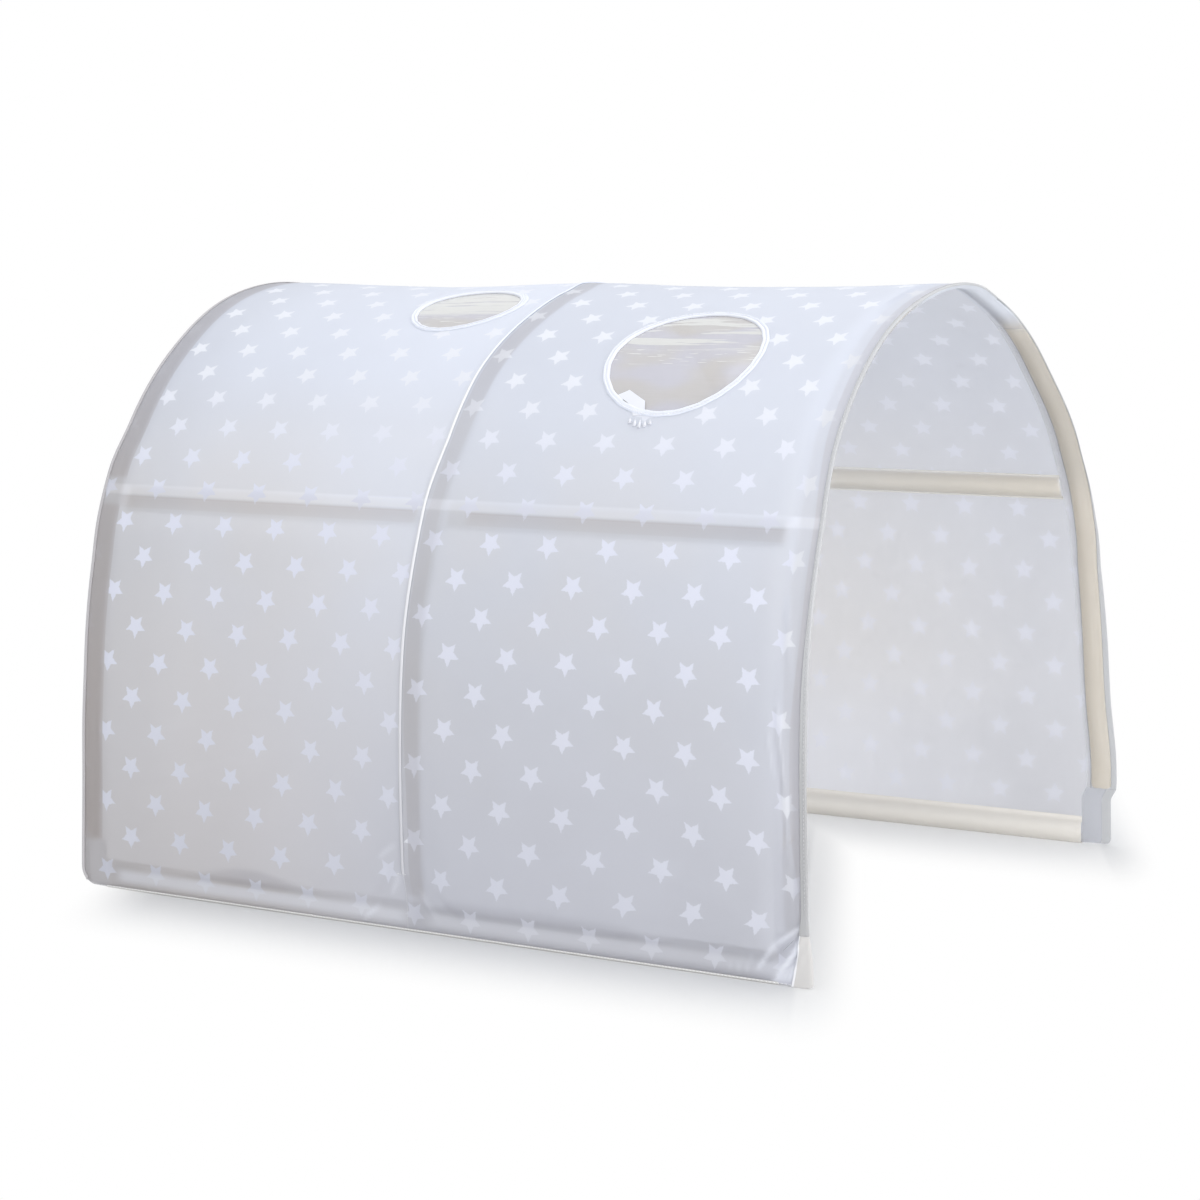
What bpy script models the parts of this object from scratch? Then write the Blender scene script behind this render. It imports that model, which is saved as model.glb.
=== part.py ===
"""Bed tunnel: a printed cloth cover held up by three bent wooden laths.

Two cloth panels meet at a piped seam beside the middle lath and run from the mattress on one
side, over the top, to the mattress on the other.  Each lath stands in a casing sewn inside the
cover.  Straight slats lie in pockets halfway up the walls and in the hems along the bottom.

X runs through the tunnel, Y across it and Z up.  The origin is on the mattress, under the
middle of the tunnel.  Arc distance is measured on the cover's outer face from the near hem
(-Y), over the top, to the far hem.  Depth is measured inwards from that face.
"""

import math

import bmesh
import bpy
import numpy as np
from mathutils import Matrix, Vector

# Overall sizes, in metres
WIDTH = 0.900           # outside, at the mattress
HEIGHT = 0.754          # to the top of the arches
LENGTH = 1.015          # mouth to mouth, halfway up
LEG = 0.060             # straight foot of each arch
LEAN = 0.022            # how far the top stands towards -X from the foot

# Cloth
CLOTH = 0.0008          # cover panels
TAPE = 0.0006           # casings, pockets and bindings
FILM = 0.0004           # clear window film
GAP = 0.0003            # between pieces that lie on each other
RUN = 0.0005            # beside a slat that slides
FLANGE = 0.004          # strip of a casing that is sewn to the cover
BINDING = 0.0082        # outer leg of the mouth binding
MOUTH_BAND = 0.0095     # cloth between the mouth's edge and its lath
SEAM_X = -0.0145        # seam between the two panels
PIPING_WIDTH = 0.003
PIPING_HEIGHT = 0.0010
TOP_SAG = 0.008         # how far the roof dips between two arches
SIDE_SAG = 0.007        # how far a wall dips between two arches

# Laths and slats
LATH_WIDTH = 0.026
LATH_THICK = 0.003
LATH_CORNER = 0.006     # radius of a lath's rounded corners
LATH_FOOT = 0.057       # from the mattress to the lath's end
SLAT_ROW = 0.493        # arc distance from the hem to the middle of the raised slats
SLAT_PLAY = 0.008       # how much shorter a slat is than its pocket
HEM_STOP = 0.005        # from the middle to the end of a hem slat
HEM_LIP = 0.006         # outer leg of the hem binding

# Windows: node suffix, place along X, arc distance and radius of the rim
WINDOWS = (("left", -0.112, 0.845, 0.0695), ("right", 0.260, 0.734, 0.1015))
RIM_WIDTH = 0.008
RIM_THICK = 0.0006
RIM_OVERHANG = 0.002    # how far the rim reaches past the edge of the hole
CUTTER_REACH = 0.060

# Facets
LOWER_STEPS = 6         # from the straight foot to the raised slats
UPPER_STEPS = 12        # from the raised slats to the top
BAY_STEPS = 8           # along X between two arches
CORNER_STEPS = 3        # on a rounded corner
RIM_STEPS = 40          # round a window

# Depths of the layers inside the cover
LINING = CLOTH + GAP + TAPE / 2             # middle of a tape sewn to the cover
LATH_IN = CLOTH + GAP
LATH_OUT = LATH_IN + LATH_THICK
CASING_DEPTH = LATH_OUT + GAP + TAPE / 2
SLAT_IN = CLOTH + RUN
SLAT_OUT = SLAT_IN + LATH_THICK
POCKET_DEPTH = SLAT_OUT + RUN + TAPE / 2
HEM_SLAT_IN = LINING + TAPE / 2 + RUN       # a hem slat passes over the corner flap
HEM_SLAT_OUT = HEM_SLAT_IN + LATH_THICK
HEM_DEPTH = HEM_SLAT_OUT + RUN + TAPE / 2
OUTSIDE = -GAP - TAPE / 2                   # middle of a tape on the outer face

# Places along X, as distances from the middle or from the mouth
SIDE_CLEAR = GAP + TAPE / 2
MIDDLE_EDGE = LATH_WIDTH / 2 + SIDE_CLEAR + FLANGE
MOUTH_EDGE = MOUTH_BAND + LATH_WIDTH + SIDE_CLEAR + FLANGE
BAY_START = MIDDLE_EDGE + GAP
BAY_END = LENGTH / 2 - MOUTH_EDGE - GAP
SLAT_LENGTH = BAY_END - BAY_START - SLAT_PLAY

# Heights in a hem and on the raised row
HEM_SLAT_LOW = TAPE + RUN
HEM_SLAT_TOP = HEM_SLAT_LOW + LATH_WIDTH
HEM_SHELF = HEM_SLAT_TOP + RUN + TAPE / 2
HEM_TOP = HEM_SHELF + 2 * FLANGE
POCKET_SIDE = LATH_WIDTH / 2 + RUN + TAPE / 2
ROW_HALF = POCKET_SIDE + FLANGE + RUN

SAMPLES = 2000

MATERIALS = {
    "printed_cloth": ((0.76, 0.79, 0.86, 1.0), 0.85),
    "white_tape": ((0.84, 0.85, 0.88, 1.0), 0.80),
    "wood": ((0.66, 0.57, 0.44, 1.0), 0.60),
    "clear_film": ((0.80, 0.81, 0.80, 0.35), 0.15),
}


def clear_scene():
    for item in list(bpy.data.objects):
        bpy.data.objects.remove(item, do_unlink=True)


def material(kind, name):
    colour, roughness = MATERIALS[kind]
    made = bpy.data.materials.new(name)
    made.use_nodes = True
    shader = made.node_tree.nodes["Principled BSDF"]
    shader.inputs["Base Color"].default_value = colour
    shader.inputs["Roughness"].default_value = roughness
    shader.inputs["Metallic"].default_value = 0.0
    shader.inputs["Alpha"].default_value = colour[3]
    return made


def bend(distance, ramp, length):
    """Angle from upright, at a distance along a lath whose curvature grows and then stays."""
    tightest = (math.pi / 2) / (length - ramp / 2)
    grown = np.minimum(distance, ramp)
    return tightest * (grown ** 2 / (2 * ramp) + np.maximum(distance - ramp, 0.0))


def curved_run(ramp):
    """Points of a bent run of unit length that starts upright and ends level."""
    middles = (np.arange(SAMPLES) + 0.5) / SAMPLES
    angle = bend(middles, ramp, 1.0)
    inward = np.concatenate([[0.0], np.cumsum(np.sin(angle))]) / SAMPLES
    upward = np.concatenate([[0.0], np.cumsum(np.cos(angle))]) / SAMPLES
    return inward, upward


def solve_ramp(slenderness):
    """Share of the bent run in which the curvature grows, for a given height to half width."""
    low, high = 0.001, 1.0
    for _ in range(40):
        ramp = (low + high) / 2
        inward, upward = curved_run(ramp)
        if upward[-1] / inward[-1] < slenderness:
            low = ramp
        else:
            high = ramp
    return ramp


RAMP_SHARE = solve_ramp((HEIGHT - LEG) / (WIDTH / 2))
RUN_IN, RUN_UP = curved_run(RAMP_SHARE)
SPREAD = WIDTH / 2 / RUN_IN[-1]                 # length of the bent run
RISE = (HEIGHT - LEG) / RUN_UP[-1]
HALF_ARC = LEG + SPREAD


def arch(arc):
    """Place and inward direction, in the Y-Z plane, at an arc distance."""
    side = -1.0 if arc <= HALF_ARC else 1.0
    climbed = min(arc, 2 * HALF_ARC - arc)
    share = max(climbed - LEG, 0.0) / SPREAD
    steps = np.linspace(0.0, 1.0, SAMPLES + 1)
    y = WIDTH / 2 - SPREAD * float(np.interp(share, steps, RUN_IN))
    z = min(climbed, LEG) + RISE * float(np.interp(share, steps, RUN_UP))
    angle = float(bend(np.array(share), RAMP_SHARE, 1.0))
    return side * y, z, -side * math.cos(angle), -math.sin(angle)


def place(x, arc, depth, drawn_in=0.0):
    """World position of a point at an arc distance and a depth inside the outer face."""
    y, z, in_y, in_z = arch(arc)
    inside = depth + drawn_in
    y, z = y + inside * in_y, z + inside * in_z
    return Vector((x + LEAN * (0.5 - z / HEIGHT), y, z))


def leaning(y, z):
    """Direction in the leaning plane of an arch."""
    return Vector((-LEAN * z / HEIGHT, y, z))


def facet_frame(foot_arc, head_arc):
    """Middle, upward direction and inward direction of the flat wall between two stations."""
    foot, head = place(0.0, foot_arc, 0.0), place(0.0, head_arc, 0.0)
    run = math.hypot(head.y - foot.y, head.z - foot.z)
    up_y, up_z = (head.y - foot.y) / run, (head.z - foot.z) / run
    side = 1.0 if foot.y < 0 else -1.0
    return (foot + head) / 2, leaning(up_y, up_z), leaning(side * up_z, -side * up_y)


def half_stations():
    lower = np.linspace(LEG, SLAT_ROW - ROW_HALF, LOWER_STEPS + 1)
    upper = np.linspace(SLAT_ROW + ROW_HALF, HALF_ARC, UPPER_STEPS + 1)
    return [0.0] + list(lower) + list(upper)


def stations():
    """Arc distances of the creases between the wall's facets, from hem to hem."""
    half = half_stations()
    return half + [2 * HALF_ARC - arc for arc in reversed(half[:-1])]


def stations_between(low, high):
    inner = [arc for arc in stations() if low + GAP < arc < high - GAP]
    return [low] + inner + [high]


def sag(x, arc):
    """How far the cloth dips between the arches, the slats and the hems."""
    along = (abs(x) - BAY_START) / (BAY_END - BAY_START)
    climbed = min(arc, 2 * HALF_ARC - arc)
    row_low, row_high = SLAT_ROW - ROW_HALF, SLAT_ROW + ROW_HALF
    if not 0.0 < along < 1.0 or row_low <= climbed <= row_high or climbed <= LEG:
        return 0.0
    if climbed < row_low:
        share, dip = (climbed - LEG) / (row_low - LEG), SIDE_SAG
    else:
        share, dip = (climbed - row_high) / (2 * (HALF_ARC - row_high)), TOP_SAG
    return dip * math.sin(math.pi * along) * math.sin(math.pi * share)


def folded(line, thickness):
    """Outline of a tape of even thickness, folded along the points of its middle line."""
    points = [Vector(point) for point in line]
    runs = [(end - start).normalized() for start, end in zip(points, points[1:])]
    left, right = [], []
    for point, before, after in zip(points, runs[:1] + runs, runs + runs[-1:]):
        across = Vector((-before.y - after.y, before.x + after.x)).normalized()
        reach = thickness / 2 / across.dot(Vector((-before.y, before.x)))
        left.append(point + across * reach)
        right.append(point - across * reach)
    return left + right[::-1]


def finish(name, mesh_builder, kind, smooth=True):
    mesh = bpy.data.meshes.new(name)
    bmesh.ops.recalc_face_normals(mesh_builder, faces=mesh_builder.faces)
    mesh_builder.to_mesh(mesh)
    mesh_builder.free()
    mesh.materials.append(material(kind, name + "_finish"))
    if smooth:
        mesh.shade_smooth()
        mesh.set_sharp_from_angle(angle=math.radians(30))
    made = bpy.data.objects.new(name, mesh)
    bpy.context.scene.collection.objects.link(made)
    return made


def bridge_rings(name, rings, kind):
    """Closed solid through rings of equal size, with a cap at each end."""
    builder = bmesh.new()
    placed = [[builder.verts.new(point) for point in ring] for ring in rings]
    count = len(rings[0])
    for near, far in zip(placed, placed[1:]):
        for index in range(count):
            following = (index + 1) % count
            builder.faces.new((near[index], near[following], far[following], far[index]))
    builder.faces.new(placed[0][::-1])
    builder.faces.new(placed[-1])
    return finish(name, builder, kind)


def sweep_arch(name, outline, arcs, kind):
    """Outline of (x, depth) points carried along the arch."""
    rings = [[place(x, arc, depth) for x, depth in outline] for arc in arcs]
    return bridge_rings(name, rings, kind)


def sweep_along(name, outline, frame, x_range, kind):
    """Outline of (height, depth) points carried along X on one flat wall."""
    middle, up, inward = frame
    rings = []
    for x in x_range:
        ring = [middle + up * height + inward * depth for height, depth in outline]
        rings.append([point + Vector((x, 0.0, 0.0)) for point in ring])
    return bridge_rings(name, rings, kind)


def rounded_plate(name, length, frame, start, depths, kind):
    """Slat with rounded corners that lies along X on one flat wall."""
    middle, up, inward = frame
    outline = []
    for turn, (sx, sy) in enumerate(((1, 1), (-1, 1), (-1, -1), (1, -1))):
        corner = (sx * (length / 2 - LATH_CORNER), sy * (LATH_WIDTH / 2 - LATH_CORNER))
        for step in range(CORNER_STEPS + 1):
            angle = math.radians(90) * (turn + step / CORNER_STEPS)
            outline.append((corner[0] + LATH_CORNER * math.cos(angle),
                            corner[1] + LATH_CORNER * math.sin(angle)))
    rings = []
    for depth in depths:
        centre = middle + inward * depth + Vector((start + length / 2, 0.0, 0.0))
        rings.append([centre + Vector((x, 0.0, 0.0)) + up * height for x, height in outline])
    return bridge_rings(name, rings, kind)


def cloth_shell(name, columns, arcs, depths, kind):
    """Cloth of even thickness over a grid of columns along X and stations round the arch."""
    builder = bmesh.new()
    layers = []
    for depth in depths:
        grid = [[builder.verts.new(place(x, arc, depth, sag(x, arc))) for x in columns]
                for arc in arcs]
        layers.append(grid)
    outer, inner = layers
    for row in range(len(arcs) - 1):
        for column in range(len(columns) - 1):
            for grid in layers:
                a, b = grid[row][column], grid[row][column + 1]
                c, d = grid[row + 1][column + 1], grid[row + 1][column]
                builder.faces.new((a, b, c))
                builder.faces.new((a, c, d))
    for row in range(len(arcs) - 1):
        for column in (0, -1):
            builder.faces.new((outer[row][column], outer[row + 1][column],
                               inner[row + 1][column], inner[row][column]))
    for column in range(len(columns) - 1):
        for row in (0, -1):
            builder.faces.new((outer[row][column], outer[row][column + 1],
                               inner[row][column + 1], inner[row][column]))
    return finish(name, builder, kind)


def bay_columns(side):
    """Columns along X of one panel, from the seam to the mouth."""
    start = BAY_START if side > 0 else -BAY_START
    end = side * BAY_END
    edge = side * (LENGTH / 2 - TAPE - GAP)
    seam = SEAM_X + side * GAP / 2
    inner = list(np.linspace(start, end, BAY_STEPS + 1))
    return sorted([seam] + inner + [edge])


def window_cutter(name, x, arc, radius):
    """Upright cylinder through the wall at a window, left out of the build."""
    builder = bmesh.new()
    bmesh.ops.create_cone(builder, cap_ends=True, segments=RIM_STEPS, radius1=radius,
                          radius2=radius, depth=2 * CUTTER_REACH)
    inward = arch(arc)[2:]
    tilt = Vector((0.0, 0.0, 1.0)).rotation_difference(Vector((0.0, -inward[0], -inward[1])))
    where = Matrix.Translation(place(x, arc, 0.0, sag(x, arc))) @ tilt.to_matrix().to_4x4()
    bmesh.ops.transform(builder, matrix=where, verts=builder.verts)
    cutter = finish(name, builder, "white_tape", smooth=False)
    cutter.hide_render = True
    cutter.display_type = "WIRE"
    return cutter


def cut(target, cutter, operation):
    step = target.modifiers.new(cutter.name, "BOOLEAN")
    step.operation = operation
    step.solver = "EXACT"
    step.object = cutter


def window_patch(name, side, arc, reach, depths, kind):
    """Piece of the wall's grid that a window's film or rim is cut from."""
    every = stations()
    low = max(index for index, value in enumerate(every) if value < arc - reach)
    high = min(index for index, value in enumerate(every) if value > arc + reach)
    return cloth_shell(name, bay_columns(side), every[low:high + 1], depths, kind)


def build_cover():
    panels = {}
    for word, side in (("left", -1), ("right", 1)):
        low = TAPE + GAP
        arcs = stations_between(low, 2 * HALF_ARC - low)
        panels[word] = cloth_shell("cover_" + word, bay_columns(side), arcs,
                                   (0.0, CLOTH), "printed_cloth")
    half = PIPING_WIDTH / 2
    top = -GAP - PIPING_HEIGHT
    outline = [(SEAM_X - half, -GAP), (SEAM_X - half / 2, top), (SEAM_X + half / 2, top),
               (SEAM_X + half, -GAP)]
    low = HEM_LIP + GAP
    sweep_arch("seam_piping", outline, stations_between(low, 2 * HALF_ARC - low), "white_tape")
    return panels


def build_windows(panels):
    for word, x, arc, radius in WINDOWS:
        side = 1 if x > 0 else -1
        hole_radius = radius - RIM_WIDTH + RIM_OVERHANG
        hole = window_cutter("window_hole_" + word, x, arc, hole_radius)
        whole = window_cutter("window_outline_" + word, x, arc, radius)
        inside = window_cutter("window_inside_" + word, x, arc, radius - RIM_WIDTH)
        cut(panels[word], hole, "DIFFERENCE")
        film = window_patch("window_film_" + word, side, arc, radius,
                            (CLOTH + GAP, CLOTH + GAP + FILM), "clear_film")
        cut(film, whole, "INTERSECT")
        rim = window_patch("window_rim_" + word, side, arc, radius,
                           (-GAP - RIM_THICK, -GAP), "white_tape")
        cut(rim, whole, "INTERSECT")
        cut(rim, inside, "DIFFERENCE")


def lath(name, x):
    """Bent lath with rounded ends, as a run of rings along the arch."""
    end = 2 * HALF_ARC - LATH_FOOT
    turns = [math.radians(90) * step / CORNER_STEPS for step in range(CORNER_STEPS)]
    corner = [(LATH_CORNER * (1 - math.cos(turn)), LATH_CORNER * (1 - math.sin(turn)))
              for turn in turns]
    widths = [(LATH_FOOT + distance, inset) for distance, inset in corner]
    widths += [(arc, 0.0) for arc in stations_between(LATH_FOOT + LATH_CORNER, end - LATH_CORNER)]
    widths += [(end - distance, inset) for distance, inset in reversed(corner)]
    rings = []
    for arc, inset in widths:
        half = LATH_WIDTH / 2 - inset
        corners = ((x - half, LATH_IN), (x + half, LATH_IN), (x + half, LATH_OUT),
                   (x - half, LATH_OUT))
        rings.append([place(px, arc, depth) for px, depth in corners])
    return bridge_rings(name, rings, "wood")


def build_arches():
    side = LATH_WIDTH / 2 + SIDE_CLEAR
    low = HEM_TOP + GAP
    hat = [(-MIDDLE_EDGE, LINING), (-side, LINING), (-side, CASING_DEPTH), (side, CASING_DEPTH),
           (side, LINING), (MIDDLE_EDGE, LINING)]
    sweep_arch("middle_casing", folded(hat, TAPE), stations_between(low, 2 * HALF_ARC - low),
               "white_tape")
    lath("arch_lath_middle", 0.0)
    fold = [(BINDING, OUTSIDE), (TAPE / 2, OUTSIDE), (TAPE / 2, LINING)]
    inner = MOUTH_BAND - SIDE_CLEAR
    outer = MOUTH_BAND + LATH_WIDTH + SIDE_CLEAR
    hat = fold + [(inner, LINING), (inner, CASING_DEPTH), (outer, CASING_DEPTH),
                  (outer, LINING), (MOUTH_EDGE, LINING)]
    flap = fold + [(MOUTH_EDGE, LINING)]
    top = LATH_FOOT - GAP
    for word, sign in (("left", -1), ("right", 1)):
        def across(line):
            return [(sign * (LENGTH / 2 - u), depth) for u, depth in folded(line, TAPE)]
        arcs = stations_between(LATH_FOOT, 2 * HALF_ARC - LATH_FOOT)
        sweep_arch("mouth_casing_" + word, across(hat), arcs, "white_tape")
        lath("arch_lath_" + word, sign * (LENGTH / 2 - MOUTH_BAND - LATH_WIDTH / 2))
        sweep_arch("corner_flap_%s_near" % word, across(flap), (0.0, top), "white_tape")
        sweep_arch("corner_flap_%s_far" % word, across(flap),
                   (2 * HALF_ARC - top, 2 * HALF_ARC), "white_tape")


def build_hems():
    tape = [(HEM_LIP, OUTSIDE), (TAPE / 2, OUTSIDE), (TAPE / 2, HEM_DEPTH),
            (HEM_SHELF, HEM_DEPTH), (HEM_SHELF, LINING), (HEM_TOP, LINING)]
    outline = [(height - LEG / 2, depth) for height, depth in folded(tape, TAPE)]
    slat_height = (HEM_SLAT_LOW + HEM_SLAT_TOP) / 2
    for word, foot, head in (("near", 0.0, LEG), ("far", 2 * HALF_ARC, 2 * HALF_ARC - LEG)):
        middle, up, inward = facet_frame(foot, head)
        sweep_along("hem_casing_" + word, outline, (middle, up, inward),
                    (-BAY_END, BAY_END), "white_tape")
        frame = (middle + up * (slat_height - LEG / 2), up, inward)
        for side_word, start in (("left", -HEM_STOP - SLAT_LENGTH), ("right", HEM_STOP)):
            rounded_plate("hem_slat_%s_%s" % (side_word, word), SLAT_LENGTH, frame, start,
                          (HEM_SLAT_IN, HEM_SLAT_OUT), "wood")


def build_raised_slats():
    tape = [(-POCKET_SIDE - FLANGE, LINING), (-POCKET_SIDE, LINING),
            (-POCKET_SIDE, POCKET_DEPTH), (POCKET_SIDE, POCKET_DEPTH),
            (POCKET_SIDE, LINING), (POCKET_SIDE + FLANGE, LINING)]
    low, high = SLAT_ROW - ROW_HALF, SLAT_ROW + ROW_HALF
    for word, foot, head in (("near", low, high),
                             ("far", 2 * HALF_ARC - low, 2 * HALF_ARC - high)):
        frame = facet_frame(foot, head)
        for side_word, sign in (("left", -1), ("right", 1)):
            ends = sorted((sign * BAY_START, sign * BAY_END))
            node = "%s_%s" % (side_word, word)
            sweep_along("slat_pocket_" + node, folded(tape, TAPE), frame, ends, "white_tape")
            start = ends[0] + SLAT_PLAY / 2
            rounded_plate("raised_slat_" + node, SLAT_LENGTH, frame, start,
                          (SLAT_IN, SLAT_OUT), "wood")


clear_scene()
build_windows(build_cover())
build_arches()
build_hems()
build_raised_slats()
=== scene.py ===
"""Bed tunnel: the printed cloth, tapes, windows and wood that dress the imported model."""

import math

import bmesh
import bpy
import numpy as np
from bpy.props import FloatProperty, FloatVectorProperty, IntProperty
from mathutils import Matrix, Vector, noise


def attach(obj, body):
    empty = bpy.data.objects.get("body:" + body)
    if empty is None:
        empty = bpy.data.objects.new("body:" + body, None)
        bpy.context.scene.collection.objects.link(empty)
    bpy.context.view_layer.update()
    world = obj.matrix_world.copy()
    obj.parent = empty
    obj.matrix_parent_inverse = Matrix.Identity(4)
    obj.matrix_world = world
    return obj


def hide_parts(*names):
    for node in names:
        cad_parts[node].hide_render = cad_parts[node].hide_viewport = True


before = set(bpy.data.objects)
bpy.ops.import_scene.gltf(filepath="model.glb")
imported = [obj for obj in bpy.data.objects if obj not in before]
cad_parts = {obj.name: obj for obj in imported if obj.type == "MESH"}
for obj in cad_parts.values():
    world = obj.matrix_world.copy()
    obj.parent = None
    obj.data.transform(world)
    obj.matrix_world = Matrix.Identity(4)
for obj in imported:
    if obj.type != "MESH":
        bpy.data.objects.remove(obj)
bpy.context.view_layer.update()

bl_info = {
    "name": "Bed tunnel",
    "version": (1, 0, 0),
    "blender": (4, 5, 0),
    "location": "3D View > Sidebar > Tunnel",
    "description": "Dresses the packed bed tunnel with printed cloth, tapes, windows and wood",
    "category": "Object",
}

# Sizes that the pieces share with the CAD model, in metres
WIDTH = 0.900
HEIGHT = 0.754
LENGTH = 1.015
LEG = 0.060
LEAN = 0.022
RAMP = 0.5936557        # share of the bent run in which the curvature grows
CLOTH = 0.0008
TAPE = 0.0006
FILM = 0.0004
GAP = 0.0003
RUN = 0.0005
FLANGE = 0.004
MOUTH_BAND = 0.0095
LEG_WIDTH = 0.0046      # how far a mouth's binding reaches over the outer face
LATH_SHIFT = 0.007      # how much nearer the edge the mouth laths lie than in the CAD model
SEAM_X = -0.0145
LATH_WIDTH = 0.026
LATH_THICK = 0.003
LATH_CORNER = 0.006
# How far above the hems the laths and their casings start, at the near and the far foot
FEET = {"left": (0.060, 0.060), "middle": (0.043, 0.043), "right": (0.057, 0.077)}
SLAT_ROW = 0.493
SLAT_PLAY = 0.008
HEM_STOP = 0.005

LINING = CLOTH + GAP + TAPE / 2
LATH_IN = CLOTH + GAP
CASING_DEPTH = LATH_IN + LATH_THICK + GAP + TAPE / 2
SLAT_IN = CLOTH + RUN
POCKET_DEPTH = SLAT_IN + LATH_THICK + RUN + TAPE / 2
HEM_SLAT_IN = LINING + TAPE / 2 + RUN
HEM_DEPTH = HEM_SLAT_IN + LATH_THICK + RUN + TAPE / 2
OUTSIDE = -GAP - TAPE / 2
SIDE_CLEAR = GAP + TAPE / 2
MIDDLE_EDGE = LATH_WIDTH / 2 + SIDE_CLEAR + FLANGE
MOUTH_EDGE = MOUTH_BAND + LATH_WIDTH + SIDE_CLEAR + FLANGE
BAY_START = MIDDLE_EDGE + GAP
BAY_END = LENGTH / 2 - MOUTH_EDGE - GAP
SLAT_LENGTH = BAY_END - BAY_START - SLAT_PLAY
HEM_SLAT_LOW = TAPE + RUN
HEM_SHELF = HEM_SLAT_LOW + LATH_WIDTH + RUN + TAPE / 2
HEM_TOP = HEM_SHELF + 2 * FLANGE
POCKET_SIDE = LATH_WIDTH / 2 + RUN + TAPE / 2
ROW_HALF = POCKET_SIDE + FLANGE + RUN
RIM_WIDTH = 0.008
CORNER = 0.005          # radius of the feet's rounded corners
CORNERS = {(-1, -1): 0.024, (1, 1): 0.010}  # those of the near left and far right foot
# Folds of the near wall: both ends' places along the tunnel and up the wall, then the fold's
# half width, its height and its painted light (painted shade where below zero)
FOLDS = (
    (0.503, 0.069, 0.463, 0.042, 0.0026, 0.0018, 0.80),
    (0.463, 0.042, 0.444, 0.012, 0.0026, 0.0014, 0.60),
    (0.502, 0.062, 0.456, 0.024, 0.0026, -0.0012, -0.50),
    (0.501, 0.072, 0.4885, 0.006, 0.0013, 0.0010, 1.0),
    (0.501, 0.055, 0.468, 0.014, 0.0018, 0.0016, 0.90),
    (0.500, 0.047, 0.472, 0.012, 0.0014, -0.0012, -0.60),
    (0.500, 0.038, 0.480, 0.010, 0.0018, 0.0014, 0.70),
    (0.498, 0.026, 0.488, 0.008, 0.0014, -0.0010, -0.40),
    (0.438, 0.030, 0.434, 0.009, 0.0018, 0.0008, 0.30),
    (0.428, 0.026, 0.424, 0.008, 0.0018, 0.0007, 0.22),
    (0.418, 0.024, 0.414, 0.008, 0.0018, 0.0006, 0.16),
    (0.472, 0.310, 0.484, 0.215, 0.0024, 0.0016, 0.60),
    (0.466, 0.300, 0.479, 0.205, 0.0018, -0.0008, -0.22),
    (0.480, 0.240, 0.486, 0.130, 0.0022, 0.0012, 0.50),
    (0.477, 0.225, 0.482, 0.140, 0.0014, -0.0008, -0.28),
    (0.462, 0.275, 0.470, 0.225, 0.0022, 0.0010, 0.30),
    (0.484, 0.150, 0.492, 0.165, 0.0014, -0.0008, -0.35),
    (0.476, 0.420, 0.486, 0.330, 0.0030, 0.0010, 0.18),
    (-0.077, 0.006, -0.053, 0.028, 0.0030, 0.0014, 0.40),
    (-0.050, 0.083, -0.025, 0.100, 0.0032, 0.0014, 0.32),
    (-0.036, 0.041, -0.020, 0.066, 0.0030, 0.0012, 0.32),
    (-0.060, 0.036, -0.030, 0.074, 0.0040, -0.0010, -0.12),
    (0.005, 0.048, 0.028, 0.016, 0.0035, 0.0015, 0.16),
    (0.024, 0.052, 0.060, 0.018, 0.0060, -0.0012, -0.12),
    (-0.400, 0.205, -0.320, 0.222, 0.0090, 0.0012, 0.03),
    (-0.390, 0.150, -0.240, 0.190, 0.0110, 0.0018, 0.03),
    (-0.360, 0.125, -0.220, 0.160, 0.0090, -0.0014, -0.03),
    (0.300, 0.120, 0.430, 0.080, 0.0140, 0.0016, 0.02),
)
# Each window's place along the tunnel and along the arc, and its outer radius
WINDOWS = (("left", -0.112, 0.845, 0.0695), ("right", 0.260, 0.734, 0.1015))
# Both ends of the line below which the cloth is doubled at the near right corner
CORNER_FOLD = (0.462, 0.004, 0.504, 0.070)
HEM_FOLD = 0.0225       # how far above a near hem's edge its slack reaches where it is tight
HEM_SLACK = 0.024       # how much farther it reaches where it hangs loosest, in the left bay
RIGHT_SLACK = 19 / 24   # share of that in the right bay
PROUD = 0.0002          # how far stitches stand out of the tape they are sewn in
MOUTH_STITCHES = 0.0030  # from a mouth's edge to its stitches
HEM_STITCHES = 0.0018   # from a hem's edge to its stitches
HEM_RUN = 0.97          # length of a hem's row of stitches
RIM_STITCHES = 0.0020   # from a rim's outer edge to its stitches
WELT_FOOT = 0.066       # how far above the hems the welt starts
# Section of the welt: distances from the seam, and outwards from the cloth
WELT = ((-0.0019, 0.0002), (-0.0010, 0.0011), (0.0010, 0.0011), (0.0019, 0.0002))
# Section of a window's rim: distances inwards from its outer edge, and outwards from the cloth
RIM = ((0.0, 0.0002), (0.0008, 0.0012), (0.0022, 0.0014), (0.0034, 0.0008), (0.0040, 0.0005),
       (0.0048, 0.0009), (0.0060, 0.0014), (0.0072, 0.0012), (0.0080, 0.0002), (0.0080, -0.0009))
TOLERANCE = 0.0001      # smaller than any step in a section
SAMPLES = 2000


def smooth(value, low, high):
    """Soft step from 0 at low to 1 at high."""
    share = min(max((value - low) / (high - low), 0.0), 1.0)
    return share * share * (3 - 2 * share)


def ebb(value, low, high):
    """Soft step from 1 at low to 0 at high."""
    return 1 - smooth(value, low, high)


def hump(value, start, top, fall, end):
    """Soft step up between start and top, and down again between fall and end."""
    return smooth(value, start, top) * ebb(value, fall, end)


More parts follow.
